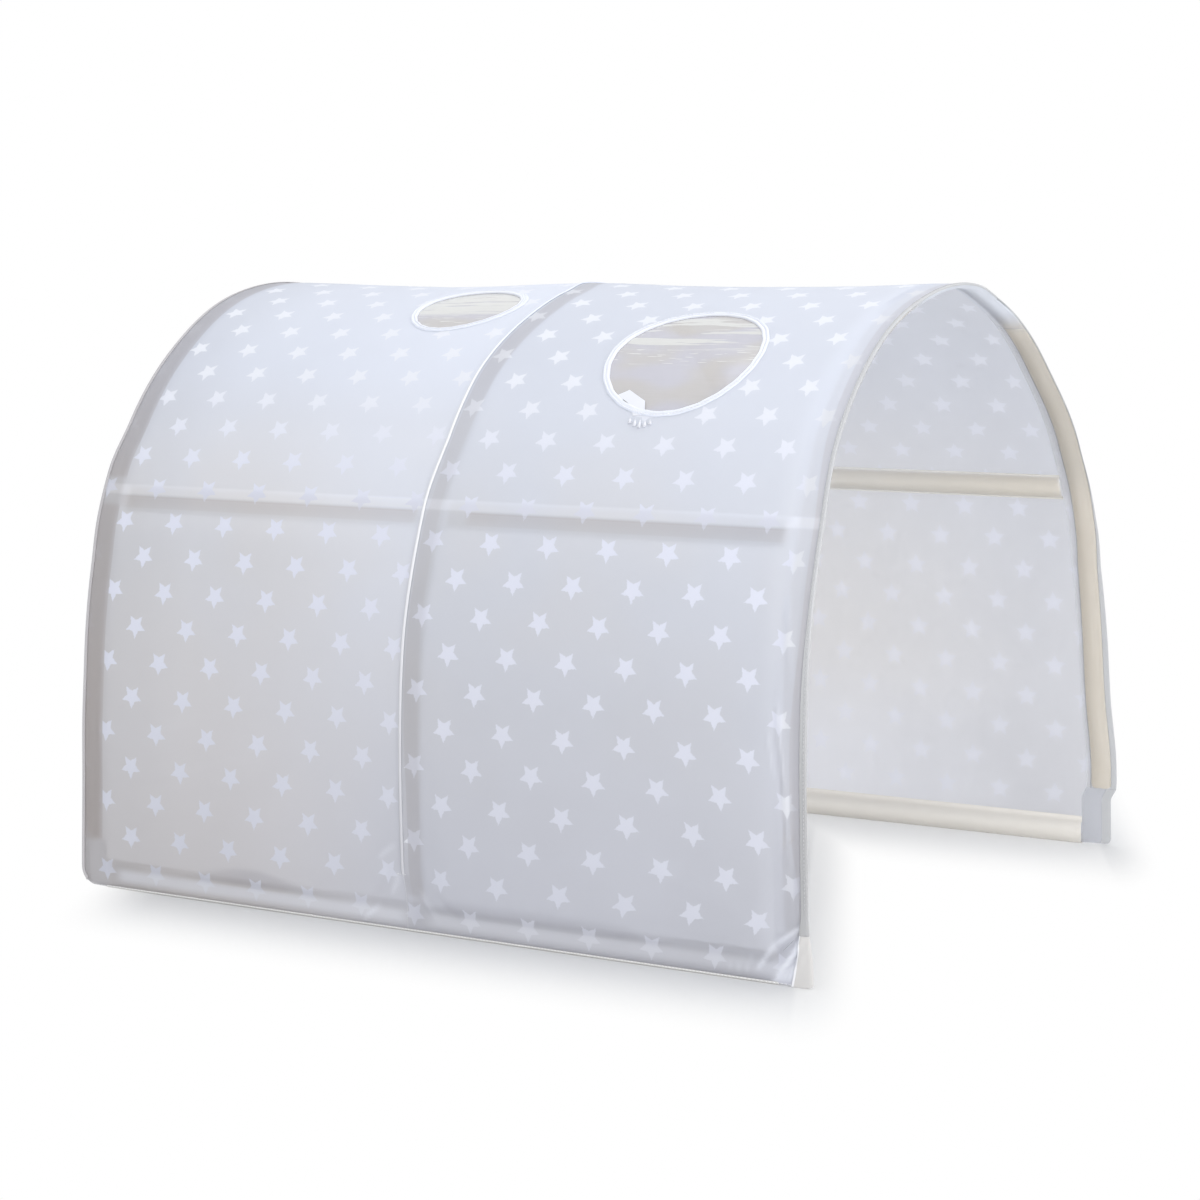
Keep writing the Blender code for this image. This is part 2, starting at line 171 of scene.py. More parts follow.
def curved_run():
    """Inward and upward places along a bent run of unit length, and its angle from upright."""
    tightest = (math.pi / 2) / (1 - RAMP / 2)

    def angle(distance):
        grown = np.minimum(distance, RAMP)
        return tightest * (grown ** 2 / (2 * RAMP) + np.maximum(distance - RAMP, 0.0))

    middles = angle((np.arange(SAMPLES) + 0.5) / SAMPLES)
    inward = np.concatenate([[0.0], np.cumsum(np.sin(middles))]) / SAMPLES
    upward = np.concatenate([[0.0], np.cumsum(np.cos(middles))]) / SAMPLES
    return inward, upward, angle(np.linspace(0.0, 1.0, SAMPLES + 1))


RUN_IN, RUN_UP, RUN_ANGLE = curved_run()
SPREAD = WIDTH / 2 / RUN_IN[-1]
RISE = (HEIGHT - LEG) / RUN_UP[-1]
HALF_ARC = LEG + SPREAD
WHOLE_ARC = 2 * HALF_ARC


def arch(arc):
    """Place and inward direction in the Y-Z plane, at an arc distance from the near hem."""
    side = -1.0 if arc <= HALF_ARC else 1.0
    climbed = min(arc, WHOLE_ARC - arc)
    share = min(max(climbed - LEG, 0.0) / SPREAD, 1.0) * SAMPLES
    index = min(int(share), SAMPLES - 1)
    part = share - index
    inward = RUN_IN[index] + (RUN_IN[index + 1] - RUN_IN[index]) * part
    upward = RUN_UP[index] + (RUN_UP[index + 1] - RUN_UP[index]) * part
    angle = RUN_ANGLE[index] + (RUN_ANGLE[index + 1] - RUN_ANGLE[index]) * part
    y = WIDTH / 2 - SPREAD * inward
    z = min(climbed, LEG) + RISE * upward
    return side * y, z, -side * math.cos(angle), -math.sin(angle)


def rounded(x, arc):
    """Place on the cut with the square corners of the feet drawn round."""
    sides = (1 if x > 0 else -1, 1 if arc > HALF_ARC else -1)
    radius = CORNERS.get(sides, CORNER)
    climbed = arc if sides[1] < 0 else WHOLE_ARC - arc
    beyond, below = abs(x) - (LENGTH / 2 - radius), radius - climbed
    if beyond <= 0 or below <= 0:
        return x, arc
    shrink = max(beyond, below) / math.hypot(beyond, below)
    x = sides[0] * (LENGTH / 2 - radius + beyond * shrink)
    climbed = radius - below * shrink
    return x, climbed if sides[1] < 0 else WHOLE_ARC - climbed


def pulled_out(x, arc):
    """How far the mouths and the middle seam stray along the tunnel from their cut."""
    near = 0.0042 * ebb(arc, 0.15, 0.40) + 0.005 * ebb(arc, 0.02, 0.075)
    near += 0.0015 * hump(arc, 0.20, 0.35, 0.46, 0.56)
    near -= 0.0050 * hump(arc, 0.50, 0.62, 0.78, 0.92)
    climbed = WHOLE_ARC - arc
    far = 0.007 * ebb(climbed, 0.22, 0.55) - 0.004 * ebb(climbed, 0.058, 0.082)
    far += 0.0045 * hump(climbed, 0.062, 0.080, 0.11, 0.24)
    far += 0.003 * hump(climbed, 0.37, 0.43, 0.48, 0.56)
    far -= 0.0085 * hump(climbed, 0.56, 0.70, 0.86, 0.98)
    far -= 0.0035 * hump(climbed, 0.10, 0.20, 0.86, 0.98)
    left = 0.0030 * hump(arc, 0.17, 0.28, 0.40, 0.47) + 0.0068 * hump(arc, 0.53, 0.60, 0.72, 0.88)
    left -= 0.0100 * ebb(arc, -0.04, 0.19)
    seam = 0.0075 * smooth(arc, 0.50, 0.60) + 0.0125 * smooth(arc, 0.68, 0.86)
    seam *= ebb(arc, 0.90, 0.99)
    seam -= 0.0050 * hump(arc, 0.03, 0.08, 0.33, 0.50)
    seam *= ebb(abs(x), 0.03, 0.10)
    return (near + far) * smooth(x, 0.40, 0.49) + left * smooth(-x, 0.40, 0.49) + seam


def lath_shift(arc):
    """How much nearer the mouth's edge a mouth lath lies there than in the CAD model."""
    return LATH_SHIFT + 0.0015 * smooth(arc, 1.00, 1.20) - 0.0065 * smooth(arc, 1.45, 1.75)


def place(x, arc, depth=0.0):
    """Point at a place along the tunnel, an arc distance and a depth inside the arch line."""
    x, arc = rounded(x, arc)
    x += pulled_out(x, arc)
    y, z, in_y, in_z = arch(arc)
    y, z = y + depth * in_y, z + depth * in_z
    return Vector((x + LEAN * (0.5 - z / HEIGHT), y, z))


def bay_share(x):
    """How far a place along the tunnel is across its bay, from the middle lath to the mouth's."""
    return min(max((abs(x) - BAY_START) / (BAY_END - BAY_START), 0.0), 1.0)


def dip(x, arc):
    """How far the cloth dips between the laths, the raised slats and the hems."""
    sizes = bpy.context.scene.tunnel_cloth
    climbed = min(arc, WHOLE_ARC - arc)
    row_low, row_high = SLAT_ROW - ROW_HALF, SLAT_ROW + ROW_HALF
    if climbed <= LEG or row_low <= climbed <= row_high:
        return 0.0
    if climbed < row_low:
        share, depth = (climbed - LEG) / (row_low - LEG), sizes.wall_dip
    else:
        share, depth = (climbed - row_high) / (2 * (HALF_ARC - row_high)), sizes.roof_dip
    return depth * math.sin(math.pi * bay_share(x)) * math.sin(math.pi * share)


def looseness(x, arc):
    """0 where the cloth is held against a lath or slat, 1 where it is free to wrinkle."""
    climbed = min(arc, WHOLE_ARC - arc)
    along = smooth(bay_share(x), 0.0, 0.12) * smooth(1 - bay_share(x), 0.0, 0.12)
    held = smooth(abs(climbed - SLAT_ROW), 0.018, 0.050) * smooth(climbed, 0.012, 0.060)
    return along * held


def ripples(x, arc):
    """Small wrinkles of the free cloth, in metres outwards."""
    sizes = bpy.context.scene.tunnel_cloth
    broad = noise.noise(Vector((x * 7, arc * 4, 1.7)))
    fine = noise.noise(Vector((x * 23, arc * 13, 5.1)))
    return sizes.wrinkle * looseness(x, arc) * (broad + 0.35 * fine)


def near_segment(x, arc, fold):
    """Share of the way along a fold's line, and the distance from it."""
    start_x, start_arc, end_x, end_arc = fold[:4]
    run_x, run_arc = end_x - start_x, end_arc - start_arc
    length = run_x * run_x + run_arc * run_arc
    share = min(max(((x - start_x) * run_x + (arc - start_arc) * run_arc) / length, 0.0), 1.0)
    return share, math.hypot(x - start_x - share * run_x, arc - start_arc - share * run_arc)


def folds(x, arc):
    """How far the pulled folds stand out, in metres, and how much painted light they get."""
    out = tone = 0.0
    for fold in FOLDS:
        width, height, light = fold[4:]
        share, off = near_segment(x, arc, fold)
        if off < 3 * width:
            strength = math.exp(-(off / width) ** 2) * (1 - 0.7 * abs(2 * share - 1) ** 3)
            out += height * strength
            tone += light * strength
    return out, tone


def hem_bulge(x, arc):
    """How far the slack over a near hem hangs out past its slat, and its edge's painted shade."""
    along = x + LEAN * 0.47
    if arc > 0.30:
        return 0.0, 0.0
    if x < SEAM_X:
        slack = math.exp(-((along + 0.235) / 0.085) ** 2)
    else:
        slack = RIGHT_SLACK * hump(along, 0.02, 0.06, 0.27, 0.37)
    top = HEM_FOLD + HEM_SLACK * slack
    low = HEM_FOLD + 0.004 - 0.002 * slack
    out = 0.0052 * slack * smooth(arc, low - 0.001, top + 0.004) * ebb(arc, 0.07, 0.26)
    return out, slack * hump(arc, low - 0.002, low + 0.004, top - 0.004, top + 0.006)


def cloth_depth(x, arc):
    """Depth of the cover's outer face below the arch line."""
    return dip(x, arc) - ripples(x, arc) - folds(x, arc)[0] - hem_bulge(x, arc)[0]


def cloth_tone(x, arc):
    """Painted light (above zero) and shade (below) on folds and hems, and the lighter doubled
    cloth.
    """
    # Painted light on fold crests and over the hems' bands, and painted shade in fold hollows and
    # under the hems' slack
    dark, lit = (0.75, 0.60) if x < SEAM_X else (0.50, 0.40)
    tone = folds(x, arc)[1] - dark * hem_bulge(x, arc)[1]
    ends = smooth(x, 0.46, 0.48) + smooth(-x, 0.44, 0.46) + ebb(abs(x), 0.0, 0.03)
    tone += lit * hump(arc, 0.004, 0.014, 0.019, 0.029) * max(1 - ends, 0.0)
    if arc < 0.30 and x > 0.44:
        start_x, start_arc, end_x, end_arc = CORNER_FOLD
        off = near_segment(x, arc, CORNER_FOLD)[1]
        below = (x - start_x) * (end_arc - start_arc) - (arc - start_arc) * (end_x - start_x)
        tone += 0.70 * smooth(below, -0.00004, 0.00012) * ebb(arc, 0.066, 0.080)
        tone += 0.25 * math.exp(-(off / 0.003) ** 2)
    return min(max(tone, -1.0), 1.0)


def grid_shape(cells_u, cells_v, where):
    """Sheet of cells whose corners go where a function of two shares says."""
    shape = bmesh.new()
    bmesh.ops.create_grid(shape, x_segments=cells_u, y_segments=cells_v, size=0.5)
    cut = shape.verts.layers.float_vector.new("cut")
    for vert in shape.verts:
        vert.co, vert[cut] = where(vert.co.x + 0.5, vert.co.y + 0.5)
    return shape


def add_piece(name, shape, body, finishes, replaced=(), thickness=0.0, offset=0.0):
    """Makes a piece of a bmesh, gives it its finish and thickness, and sets it on its body."""
    mesh = bpy.data.meshes.new(name)
    for edge in shape.edges:
        if edge.is_boundary:
            edge.smooth = False
    shape.to_mesh(mesh)
    shape.free()
    for finish in finishes:
        mesh.materials.append(finish)
    mesh.shade_smooth()
    piece = bpy.data.objects.new(name, mesh)
    bpy.context.scene.collection.objects.link(piece)
    if thickness:
        solid = piece.modifiers.new("Thickness", "SOLIDIFY")
        solid.thickness = thickness
        solid.offset = offset
        if len(finishes) > 1:
            solid.material_offset = 1
            solid.material_offset_rim = 1
    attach(piece, body)
    if replaced:
        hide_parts(*replaced)
    return piece


def face_outwards(shape):
    """Turns an open sheet so that its faces look away from the tunnel's axis."""
    total = 0.0
    for face in shape.faces:
        middle = face.calc_center_median()
        total += face.normal.dot(middle - Vector((middle.x, 0.0, 0.2))) * face.calc_area()
    if total < 0:
        bmesh.ops.reverse_faces(shape, faces=shape.faces)


# Materials

class Nodes:
    """A node tree, with short calls for the nodes used here."""

    def __init__(self, owner):
        owner.use_nodes = True
        self.tree = owner.node_tree

    def node(self, kind, **settings):
        made = self.tree.nodes.new(kind)
        for key, value in settings.items():
            setattr(made, key, value)
        return made

    def put(self, socket, value):
        if isinstance(value, bpy.types.NodeSocket):
            self.tree.links.new(value, socket)
        else:
            socket.default_value = value

    def math(self, operation, first, second=0.0, third=0.0, clamp=False):
        made = self.node("ShaderNodeMath", operation=operation, use_clamp=clamp)
        for socket, value in zip(made.inputs, (first, second, third)):
            self.put(socket, value)
        return made.outputs[0]

    def times(self, first, second):
        return self.math("MULTIPLY", first, second)

    def plus(self, first, second):
        return self.math("ADD", first, second)

    def less(self, first, second):
        return self.math("SUBTRACT", first, second)

    def most(self, first, second):
        return self.math("MAXIMUM", first, second)

    def scaled(self, value, factor, added):
        return self.math("MULTIPLY_ADD", value, factor, added)

    def blend(self, factor, first, second):
        """Mixes two shaders."""
        made = self.node("ShaderNodeMixShader")
        for socket, value in zip(made.inputs, (factor, first, second)):
            self.put(socket, value)
        return made.outputs[0]

    def seen(self):
        """1 on the rays that show a thing, and 0 on those that only carry its light."""
        path = self.node("ShaderNodeLightPath")
        straight = self.most(path.outputs["Is Camera Ray"], path.outputs["Is Glossy Ray"])
        return self.most(straight, path.outputs["Is Transmission Ray"])


class Graph(Nodes):
    """A material's node tree, with more calls for its textures and its shader."""

    def __init__(self, name):
        self.material = bpy.data.materials.new(name)
        super().__init__(self.material)
        self.shader = self.tree.nodes["Principled BSDF"]
        self.output = self.tree.nodes["Material Output"]

    def vector(self, operation, first, second=(0, 0, 0)):
        made = self.node("ShaderNodeVectorMath", operation=operation)
        self.put(made.inputs[0], first)
        if isinstance(second, float):
            made.inputs["Scale"].default_value = second
        else:
            self.put(made.inputs[1], second)
        return made.outputs["Value"] if operation == "LENGTH" else made.outputs["Vector"]

    def step(self, value, low, high, start=0.0, end=1.0):
        made = self.node("ShaderNodeMapRange", interpolation_type="SMOOTHSTEP")
        for socket, number in zip(made.inputs, (value, low, high, start, end)):
            self.put(socket, number)
        return made.outputs[0]

    def band(self, value, low, high, soft):
        rising = self.step(value, low - soft, low + soft)
        falling = self.step(value, high - soft, high + soft, 1.0, 0.0)
        return self.math("MULTIPLY", rising, falling)

    def mix(self, factor, first, second, blend="MIX"):
        made = self.node("ShaderNodeMix", data_type="RGBA", blend_type=blend)
        self.put(made.inputs["Factor"], factor)
        self.put(made.inputs["A"], first)
        self.put(made.inputs["B"], second)
        return made.outputs["Result"]

    def cut(self):
        """Place on the flat cut, along the tunnel and the arc, then on the panels painted light and
        shade.
        """
        return self.node("ShaderNodeAttribute", attribute_name="cut").outputs["Vector"]

    def climbed(self, arc):
        """Distance along the arc from the nearer hem."""
        return self.math("MINIMUM", arc, self.less(WHOLE_ARC, arc))

    def threads(self, cut, pattern, detail=2.0, roughness=0.5):
        """Noise that is drawn out along the cut."""
        return self.noise(self.vector("MULTIPLY", cut, pattern), 1.0, detail, roughness)

    def parts(self, vector):
        made = self.node("ShaderNodeSeparateXYZ")
        self.put(made.inputs[0], vector)
        return made.outputs

    def noise(self, vector, scale, detail=2.0, roughness=0.5):
        made = self.node("ShaderNodeTexNoise")
        self.put(made.inputs["Vector"], vector)
        made.inputs["Scale"].default_value = scale
        made.inputs["Detail"].default_value = detail
        made.inputs["Roughness"].default_value = roughness
        return made.outputs["Fac"]

    def bump(self, height, strength, distance):
        made = self.node("ShaderNodeBump")
        made.inputs["Strength"].default_value = strength
        made.inputs["Distance"].default_value = distance
        self.put(made.inputs["Height"], height)
        return made.outputs["Normal"]

    def finish(self, colour, roughness, normal=None, **constants):
        self.put(self.shader.inputs["Base Color"], colour)
        self.put(self.shader.inputs["Roughness"], roughness)
        if normal:
            self.put(self.shader.inputs["Normal"], normal)
        for key, value in constants.items():
            self.shader.inputs[key.replace("_", " ")].default_value = value
        return self.material


def star_mask(graph, place_on_print):
    """1 inside the printed stars, which stand in a half-drop lattice with one point down."""
    sizes = bpy.context.scene.tunnel_print
    tip, notch = sizes.star_tip, sizes.star_tip * sizes.star_notch
    notch_x, notch_y = notch * math.cos(math.pi / 5), notch * math.sin(math.pi / 5)
    edge = math.hypot(notch_y, tip - notch_x)
    pitch = (sizes.pitch_along, sizes.pitch_round, 1.0)
    found = []
    first = (sizes.first_along - pitch[0] / 2, sizes.first_round - pitch[1] / 2, 0.0)
    cells = graph.vector("DIVIDE", graph.vector("SUBTRACT", place_on_print, first), pitch)
    for half in (0.0, 0.5):
        cell = graph.vector("FRACTION", graph.vector("ADD", cells, (half, half, 0.0)))
        spot = graph.vector("MULTIPLY", graph.vector("SUBTRACT", cell, (0.5, 0.5, 0.0)), pitch)
        across, up, _ = graph.parts(spot)
        reach = graph.math("SQRT", graph.plus(graph.times(across, across), graph.times(up, up)))
        angle = graph.math("ARCTAN2", across, graph.times(up, -1.0))
        turn = graph.scaled(angle, 5 / (2 * math.pi), 10.5)
        off = graph.less(graph.math("FRACT", turn), 0.5)
        off = graph.times(graph.math("ABSOLUTE", off), 2 * math.pi / 5)
        along = graph.times(reach, graph.math("COSINE", off))
        beside = graph.times(reach, graph.math("SINE", off))
        outside = graph.times(graph.less(along, tip), notch_y / edge)
        outside = graph.scaled(beside, (tip - notch_x) / edge, outside)
        found.append(graph.step(outside, -sizes.star_blur, sizes.star_blur, 1.0, 0.0))
    return graph.most(*found)


def weave_height(graph, cut):
    """Fine plain weave with slubs, as a height."""
    slubs = graph.threads(cut, (260.0, 2600.0, 0.0))
    return graph.plus(slubs, graph.threads(cut, (2600.0, 320.0, 0.0)))


def printed_cloth(name, inside):
    """Thin cotton with the star print, which lets some light through."""
    graph = Graph(name)
    cut = graph.cut()
    on_print = graph.node("ShaderNodeAttribute", attribute_name="print").outputs["Vector"]
    ragged = graph.node("ShaderNodeTexNoise")
    graph.put(ragged.inputs["Vector"], cut)
    ragged.inputs["Scale"].default_value = 380.0
    ragged.inputs["Detail"].default_value = 1.0
    shift = graph.vector("SUBTRACT", ragged.outputs["Color"], (0.5, 0.5, 0.5))
    shift = graph.vector("MULTIPLY", shift, (0.0026, 0.0026, 0.0))
    star = star_mask(graph, graph.vector("ADD", on_print, shift))
    tone = graph.step(graph.noise(cut, 6.0, 1.0), 0.35, 0.65)
    cloth = (inner_tones if inside else outer_tones)(graph, cut, tone, star)
    cloth = graph.mix(1.0, cloth, graph.scaled(weave_height(graph, cut), 0.06, 0.94), "MULTIPLY")
    normal = graph.bump(weave_height(graph, cut), 0.14, 0.0004)
    graph.finish(cloth, 0.86, normal, Sheen_Weight=0.15, Sheen_Roughness=0.5)
    through = graph.node("ShaderNodeBsdfTranslucent")
    through.inputs["Color"].default_value = (0.97, 0.98, 1.0, 1.0)
    lit = graph.blend(0.50 if inside else 0.35, graph.shader.outputs[0], through.outputs[0])
    graph.put(graph.output.inputs["Surface"], lit)
    return graph.material


def inner_tones(graph, cut, tone, star):
    """Colour of the inner face, with painted light: brightest deep inside and near the hems."""
    colours = bpy.context.scene.tunnel_colours
    along, arc, _ = graph.parts(cut)
    climbed = graph.climbed(arc)
    outwards = graph.scaled(tone, 0.05, graph.math("ABSOLUTE", along))
    # Painted light and shade: the inner face is lighter deep inside and near the hems, darker at
    # the mouths and over the crown
    deep = graph.mix(graph.step(climbed, 0.08, 0.28), colours.back_low, colours.back_deep)
    cloth = graph.mix(graph.step(outwards, 0.10, 0.48), deep, colours.back_mouth)
    crown = graph.mix(graph.step(outwards, 0.34, 0.50), colours.back_crown, colours.back_edge)
    cloth = graph.mix(graph.step(climbed, 0.20, 0.80), cloth, crown)
    return graph.mix(graph.times(star, 0.28), cloth, colours.star)


def outer_tones(graph, cut, tone, star):
    """Colour of the outer face: doubled cloth is lighter; painted shadow of wood behind makes it
    grey.
    """
    colours = bpy.context.scene.tunnel_colours
    along, arc, fold = graph.parts(cut)
    climbed = graph.climbed(arc)
    tone = graph.scaled(tone, 0.4, graph.step(along, -0.35, 0.05, 0.6, 0.0))
    cloth = graph.mix(tone, colours.cloth_cool, colours.cloth_warm)
    # Painted light over the roof, and painted shade low on the walls near the hems
    cloth = graph.mix(graph.step(climbed, 0.48, 0.72), cloth, colours.cloth_roof_lit)
    low = graph.mix(graph.step(along, -0.35, 0.05), colours.low_warm_shaded, colours.low_cool_shaded)
    cloth = graph.mix(graph.step(climbed, 0.02, 0.56), low, cloth)
    # Painted light and shade along the tunnel and round the hems and slats
    cloth = graph.mix(1.0, cloth, light_on_wall(graph, along, climbed), "MULTIPLY")
    laths = mouth_lath_shadow(graph, along, climbed)
    wood = graph.most(middle_lath_shadow(graph, along, climbed), laths)
    wood = graph.most(wood, slat_shadow(graph, along, climbed))
    # Doubled cloth beside the right mouth lath: lighter as doubled cloth, and with painted light
    # over the lath's shadow
    doubled = graph.times(graph.step(along, 0.472, 0.482),
                          graph.step(along, 0.489, 0.494, 1.0, 0.0))
    doubled = graph.times(doubled, graph.step(climbed, 0.06, 0.20, 0.2, 1.0))
    doubled = graph.most(doubled, welt_allowance(graph, along, climbed))
    # The cut's third value carries the painted light (above zero) and painted shade (below) of
    # folds and hems
    light = graph.math("MAXIMUM", fold, graph.times(doubled, 0.22), clamp=True)
    dark = graph.math("MULTIPLY", fold, -1.0, clamp=True)
    seams = graph.times(seam_lines(graph, along, climbed), 0.9)
    cloth = graph.mix(light, cloth, colours.doubled)
    cloth = graph.mix(graph.most(dark, seams), cloth, colours.fold_shade, "MULTIPLY")
    # Painted shadow of the laths and slats behind the cloth, where they block the light through it
    cloth = graph.mix(wood, cloth, colours.wood_shadow, "MULTIPLY")
    hidden = graph.times(graph.scaled(wood, -0.45, 1.0), graph.scaled(laths, -0.9, 1.0))
    # The print gets painted shade near the hems, and painted light over the roof, on doubled cloth
    # and on fold crests
    printed = graph.mix(graph.step(climbed, 0.04, 0.50), colours.star_low_shaded, colours.star)
    printed = graph.mix(graph.step(climbed, 0.48, 0.72), printed, colours.star_roof_lit)
    printed = graph.mix(graph.most(light, doubled), printed, colours.star_roof_lit)
    return graph.mix(graph.times(star, hidden), cloth, printed)


def light_on_wall(graph, along, climbed):
    """Painted light and shade on the panels, along the tunnel and round their hems and slats."""
    left, right = light_on_left(graph, along, climbed), light_on_right(graph, along, climbed)
    side = graph.step(along, SEAM_X - 0.0004, SEAM_X + 0.0004)
    light = graph.plus(graph.times(left, graph.less(1.0, side)), graph.times(right, side))
    # Painted light above each slat row, over the shade its sleeve's flange casts through the cloth
    flange = graph.band(climbed, SLAT_ROW + 0.0055, SLAT_ROW + 0.0185, 0.0020)
    return graph.scaled(flange, 0.20, light)


def light_on_left(graph, along, climbed):
    """Painted light on the left panel: lighter from its mouth to the seam, and over its slats."""
    left = graph.plus(graph.step(along, -0.48, -0.33, 0.83, 0.94),
                      graph.step(along, -0.33, -0.02, 0.0, 0.14))
    upper = graph.times(graph.step(climbed, 0.42, 0.50), graph.step(along, -0.25, 0.0, 0.07, 0.02))
    upper = graph.scaled(graph.band(climbed, 0.47, 0.60, 0.03), 0.03, upper)
    return graph.plus(left, graph.times(upper, graph.step(along, -0.49, -0.46, 0.5, 1.0)))


def light_on_right(graph, along, climbed):
    """Painted light on the right panel at its hems and beside the mouth, painted shade over the
    roof.
    """
    low = graph.times(graph.step(climbed, 0.05, 0.20, 0.08, 0.0),
                      graph.step(along, 0.25, 0.42, 1.0, 0.0))
    right = graph.scaled(graph.band(climbed, 0.24, 0.46, 0.05), -0.05, low)
    roof = graph.times(graph.step(climbed, 0.60, 0.75), graph.step(along, 0.05, 0.30, 0.06, 0.025))
    beside = graph.times(graph.step(along, 0.440, 0.486, 0.0, 0.13),
                         graph.step(climbed, 0.06, 0.20))
    corner = graph.times(graph.step(along, 0.440, 0.465, 0.0, 0.14),
                         graph.step(climbed, 0.05, 0.17, 1.0, 0.0))
    beside = graph.plus(beside, graph.plus(corner, 1.0))
    return graph.plus(graph.less(right, roof), beside)


def middle_edge(graph, climbed):
    """Left edge of what shows of the middle lath, and the right edge of the doubled cloth."""
    edge = graph.step(climbed, 0.12, 0.26, -0.0060, -0.0092)
    return graph.scaled(graph.band(climbed, 0.50, 0.56, 0.02), 0.0028, edge)


def welt_allowance(graph, along, climbed):
    """The doubled cloth between the seam and the middle lath, lightened with painted light."""
    edge = graph.less(along, middle_edge(graph, climbed))
    strip = graph.step(edge, -0.0006, 0.0006, 1.0, 0.0)
    strip = graph.times(strip, graph.step(along, SEAM_X - 0.0004, SEAM_X + 0.0002))
    strip = graph.times(strip, graph.step(climbed, 0.16, 0.24, 1.0, 0.3))
    return graph.times(strip, graph.step(climbed, 0.064, 0.068))


def seam_lines(graph, along, climbed):
    """Dark line where the cloth turns under at the seam, and painted shade where it does at the
    hems.
    """
    seam = graph.band(along, SEAM_X - 0.0026, SEAM_X - 0.0017, 0.0004)
    seam = graph.times(seam, graph.step(climbed, 0.064, 0.070))
    seam = graph.times(seam, graph.step(climbed, 0.10, 0.50, 1.0, 0.35))
    # Painted shade where the cloth turns under at the hems
    hem = graph.step(climbed, 0.0026, 0.0070, 0.6, 0.0)
    return graph.most(seam, hem)


def middle_lath_shadow(graph, along, climbed):
    """How much the middle lath darkens the cloth over it."""
    right_edge = graph.plus(graph.step(climbed, 0.20, 0.40, 0.0108, 0.0086),
                            graph.step(climbed, 0.54, 0.72, 0.0, 0.0066))
    middle = graph.step(graph.less(along, middle_edge(graph, climbed)), -0.0012, 0.0012)
    past = graph.step(graph.less(along, right_edge), -0.0022, 0.0022, 1.0, 0.0)
    middle = graph.times(graph.times(middle, past), graph.step(climbed, 0.56, 0.72, 0.34, 0.62))
    return graph.times(middle, graph.step(climbed, 0.028, 0.034))


def mouth_lath_shadow(graph, along, climbed):
    """How much the mouth laths darken the cloth over them."""
    start = graph.less(graph.step(climbed, 0.26, 0.40, 0.4875, 0.4955),
                       graph.step(climbed, 0.50, 0.64, 0.0, 0.0040))
    start = graph.plus(start, graph.step(climbed, 0.09, 0.18, 0.0095, 0.0))
    right = graph.step(graph.less(along, start), -0.0012, 0.0012)
    right = graph.times(right, graph.step(climbed, 0.20, 0.42, 0.50, 0.66))
    right = graph.times(right, graph.step(climbed, 0.051, 0.060))
    left = graph.step(along, -0.4755, -0.4735, 1.0, 0.0)
    crossed = graph.band(climbed, 0.484, 0.521, 0.004)
    left = graph.times(left, graph.scaled(crossed, -0.8, 1.0))
    left = graph.times(left, graph.step(climbed, 0.056, 0.064))
    return graph.most(right, left)


def slat_shadow(graph, along, climbed):
    """How much the raised slats darken the cloth over them."""
    row = graph.band(climbed, SLAT_ROW - 0.0118, SLAT_ROW + 0.0034, 0.0012)
    row = graph.times(row, graph.step(climbed, SLAT_ROW - 0.012, SLAT_ROW, 0.35, 0.60))
    top = graph.band(climbed, SLAT_ROW + 0.0012, SLAT_ROW + 0.0036, 0.0012)
    row = graph.most(row, graph.times(top, 0.9))
    right = graph.band(along, BAY_START + 0.030, BAY_END - 0.004, 0.008)
    left = graph.band(along, -BAY_END - 0.012, -BAY_START - 0.006, 0.006)
    return graph.times(row, graph.most(right, left))


def tape_cloth(name, alpha, bound, edge="binding", past="tape"):
    """White cotton tape; past its bound edge a thin sleeve lets the wood in it show."""
    colours = bpy.context.scene.tunnel_colours
    graph = Graph(name)
    cut = graph.cut()
    across, run, _ = graph.parts(cut)
    colour = graph.mix(graph.noise(cut, 60.0, 3.0), colours.tape_shade, colours.tape)
    height = graph.threads(cut, (1800.0, 900.0, 0.0))
    over = graph.step(across, bound, bound + 0.001)
    bound_edge, sheer = getattr(colours, edge), alpha - 1.0
    if past == "sleeve":
        # Painted light and shade on the slats' sleeves: lighter deep inside, darker near the mouths
        outwards = graph.step(graph.math("ABSOLUTE", run), 0.10, 0.45)
        colour = graph.mix(outwards, colours.sleeve, colours.sleeve_mouth)
    elif past != "tape":
        colour = getattr(colours, past)
    elif edge == "binding":
        # Painted shade on the right mouth: its binding darker near the near foot, its sleeve darker
        # at the lath's shoulder, greyer and bluish at the crown
        bound_edge = graph.mix(graph.step(run, 0.14, 0.44), colours.binding_shaded_low, bound_edge)
        crown = graph.band(run, 0.86, 1.19, 0.04)
        shade = graph.times(graph.band(run, 1.22, 1.50, 0.05), 0.38)
        colour = graph.mix(shade, colour, colours.sleeve_shade)
        colour = graph.mix(crown, colour, colours.sleeve_crown)
        sheer = graph.scaled(crown, 0.67, graph.scaled(shade, 0.17, sheer))
    if edge == "foot_flap":
        rim = graph.step(across, 0.0003, 0.0005, 1.0, 0.0)
        bound_edge = graph.mix(rim, bound_edge, colours.tape)
        # Painted shade at the flap's top, as on the binding near the foot
        bound_edge = graph.mix(graph.step(run, 0.056, 0.072), bound_edge, colours.binding_shaded_low)
    colour = graph.mix(over, bound_edge, colour)
    graph.put(graph.shader.inputs["Alpha"], graph.scaled(over, sheer, 1.0))
    return graph.finish(colour, 0.82, graph.bump(height, 0.25, 0.0004), Sheen_Weight=0.1)


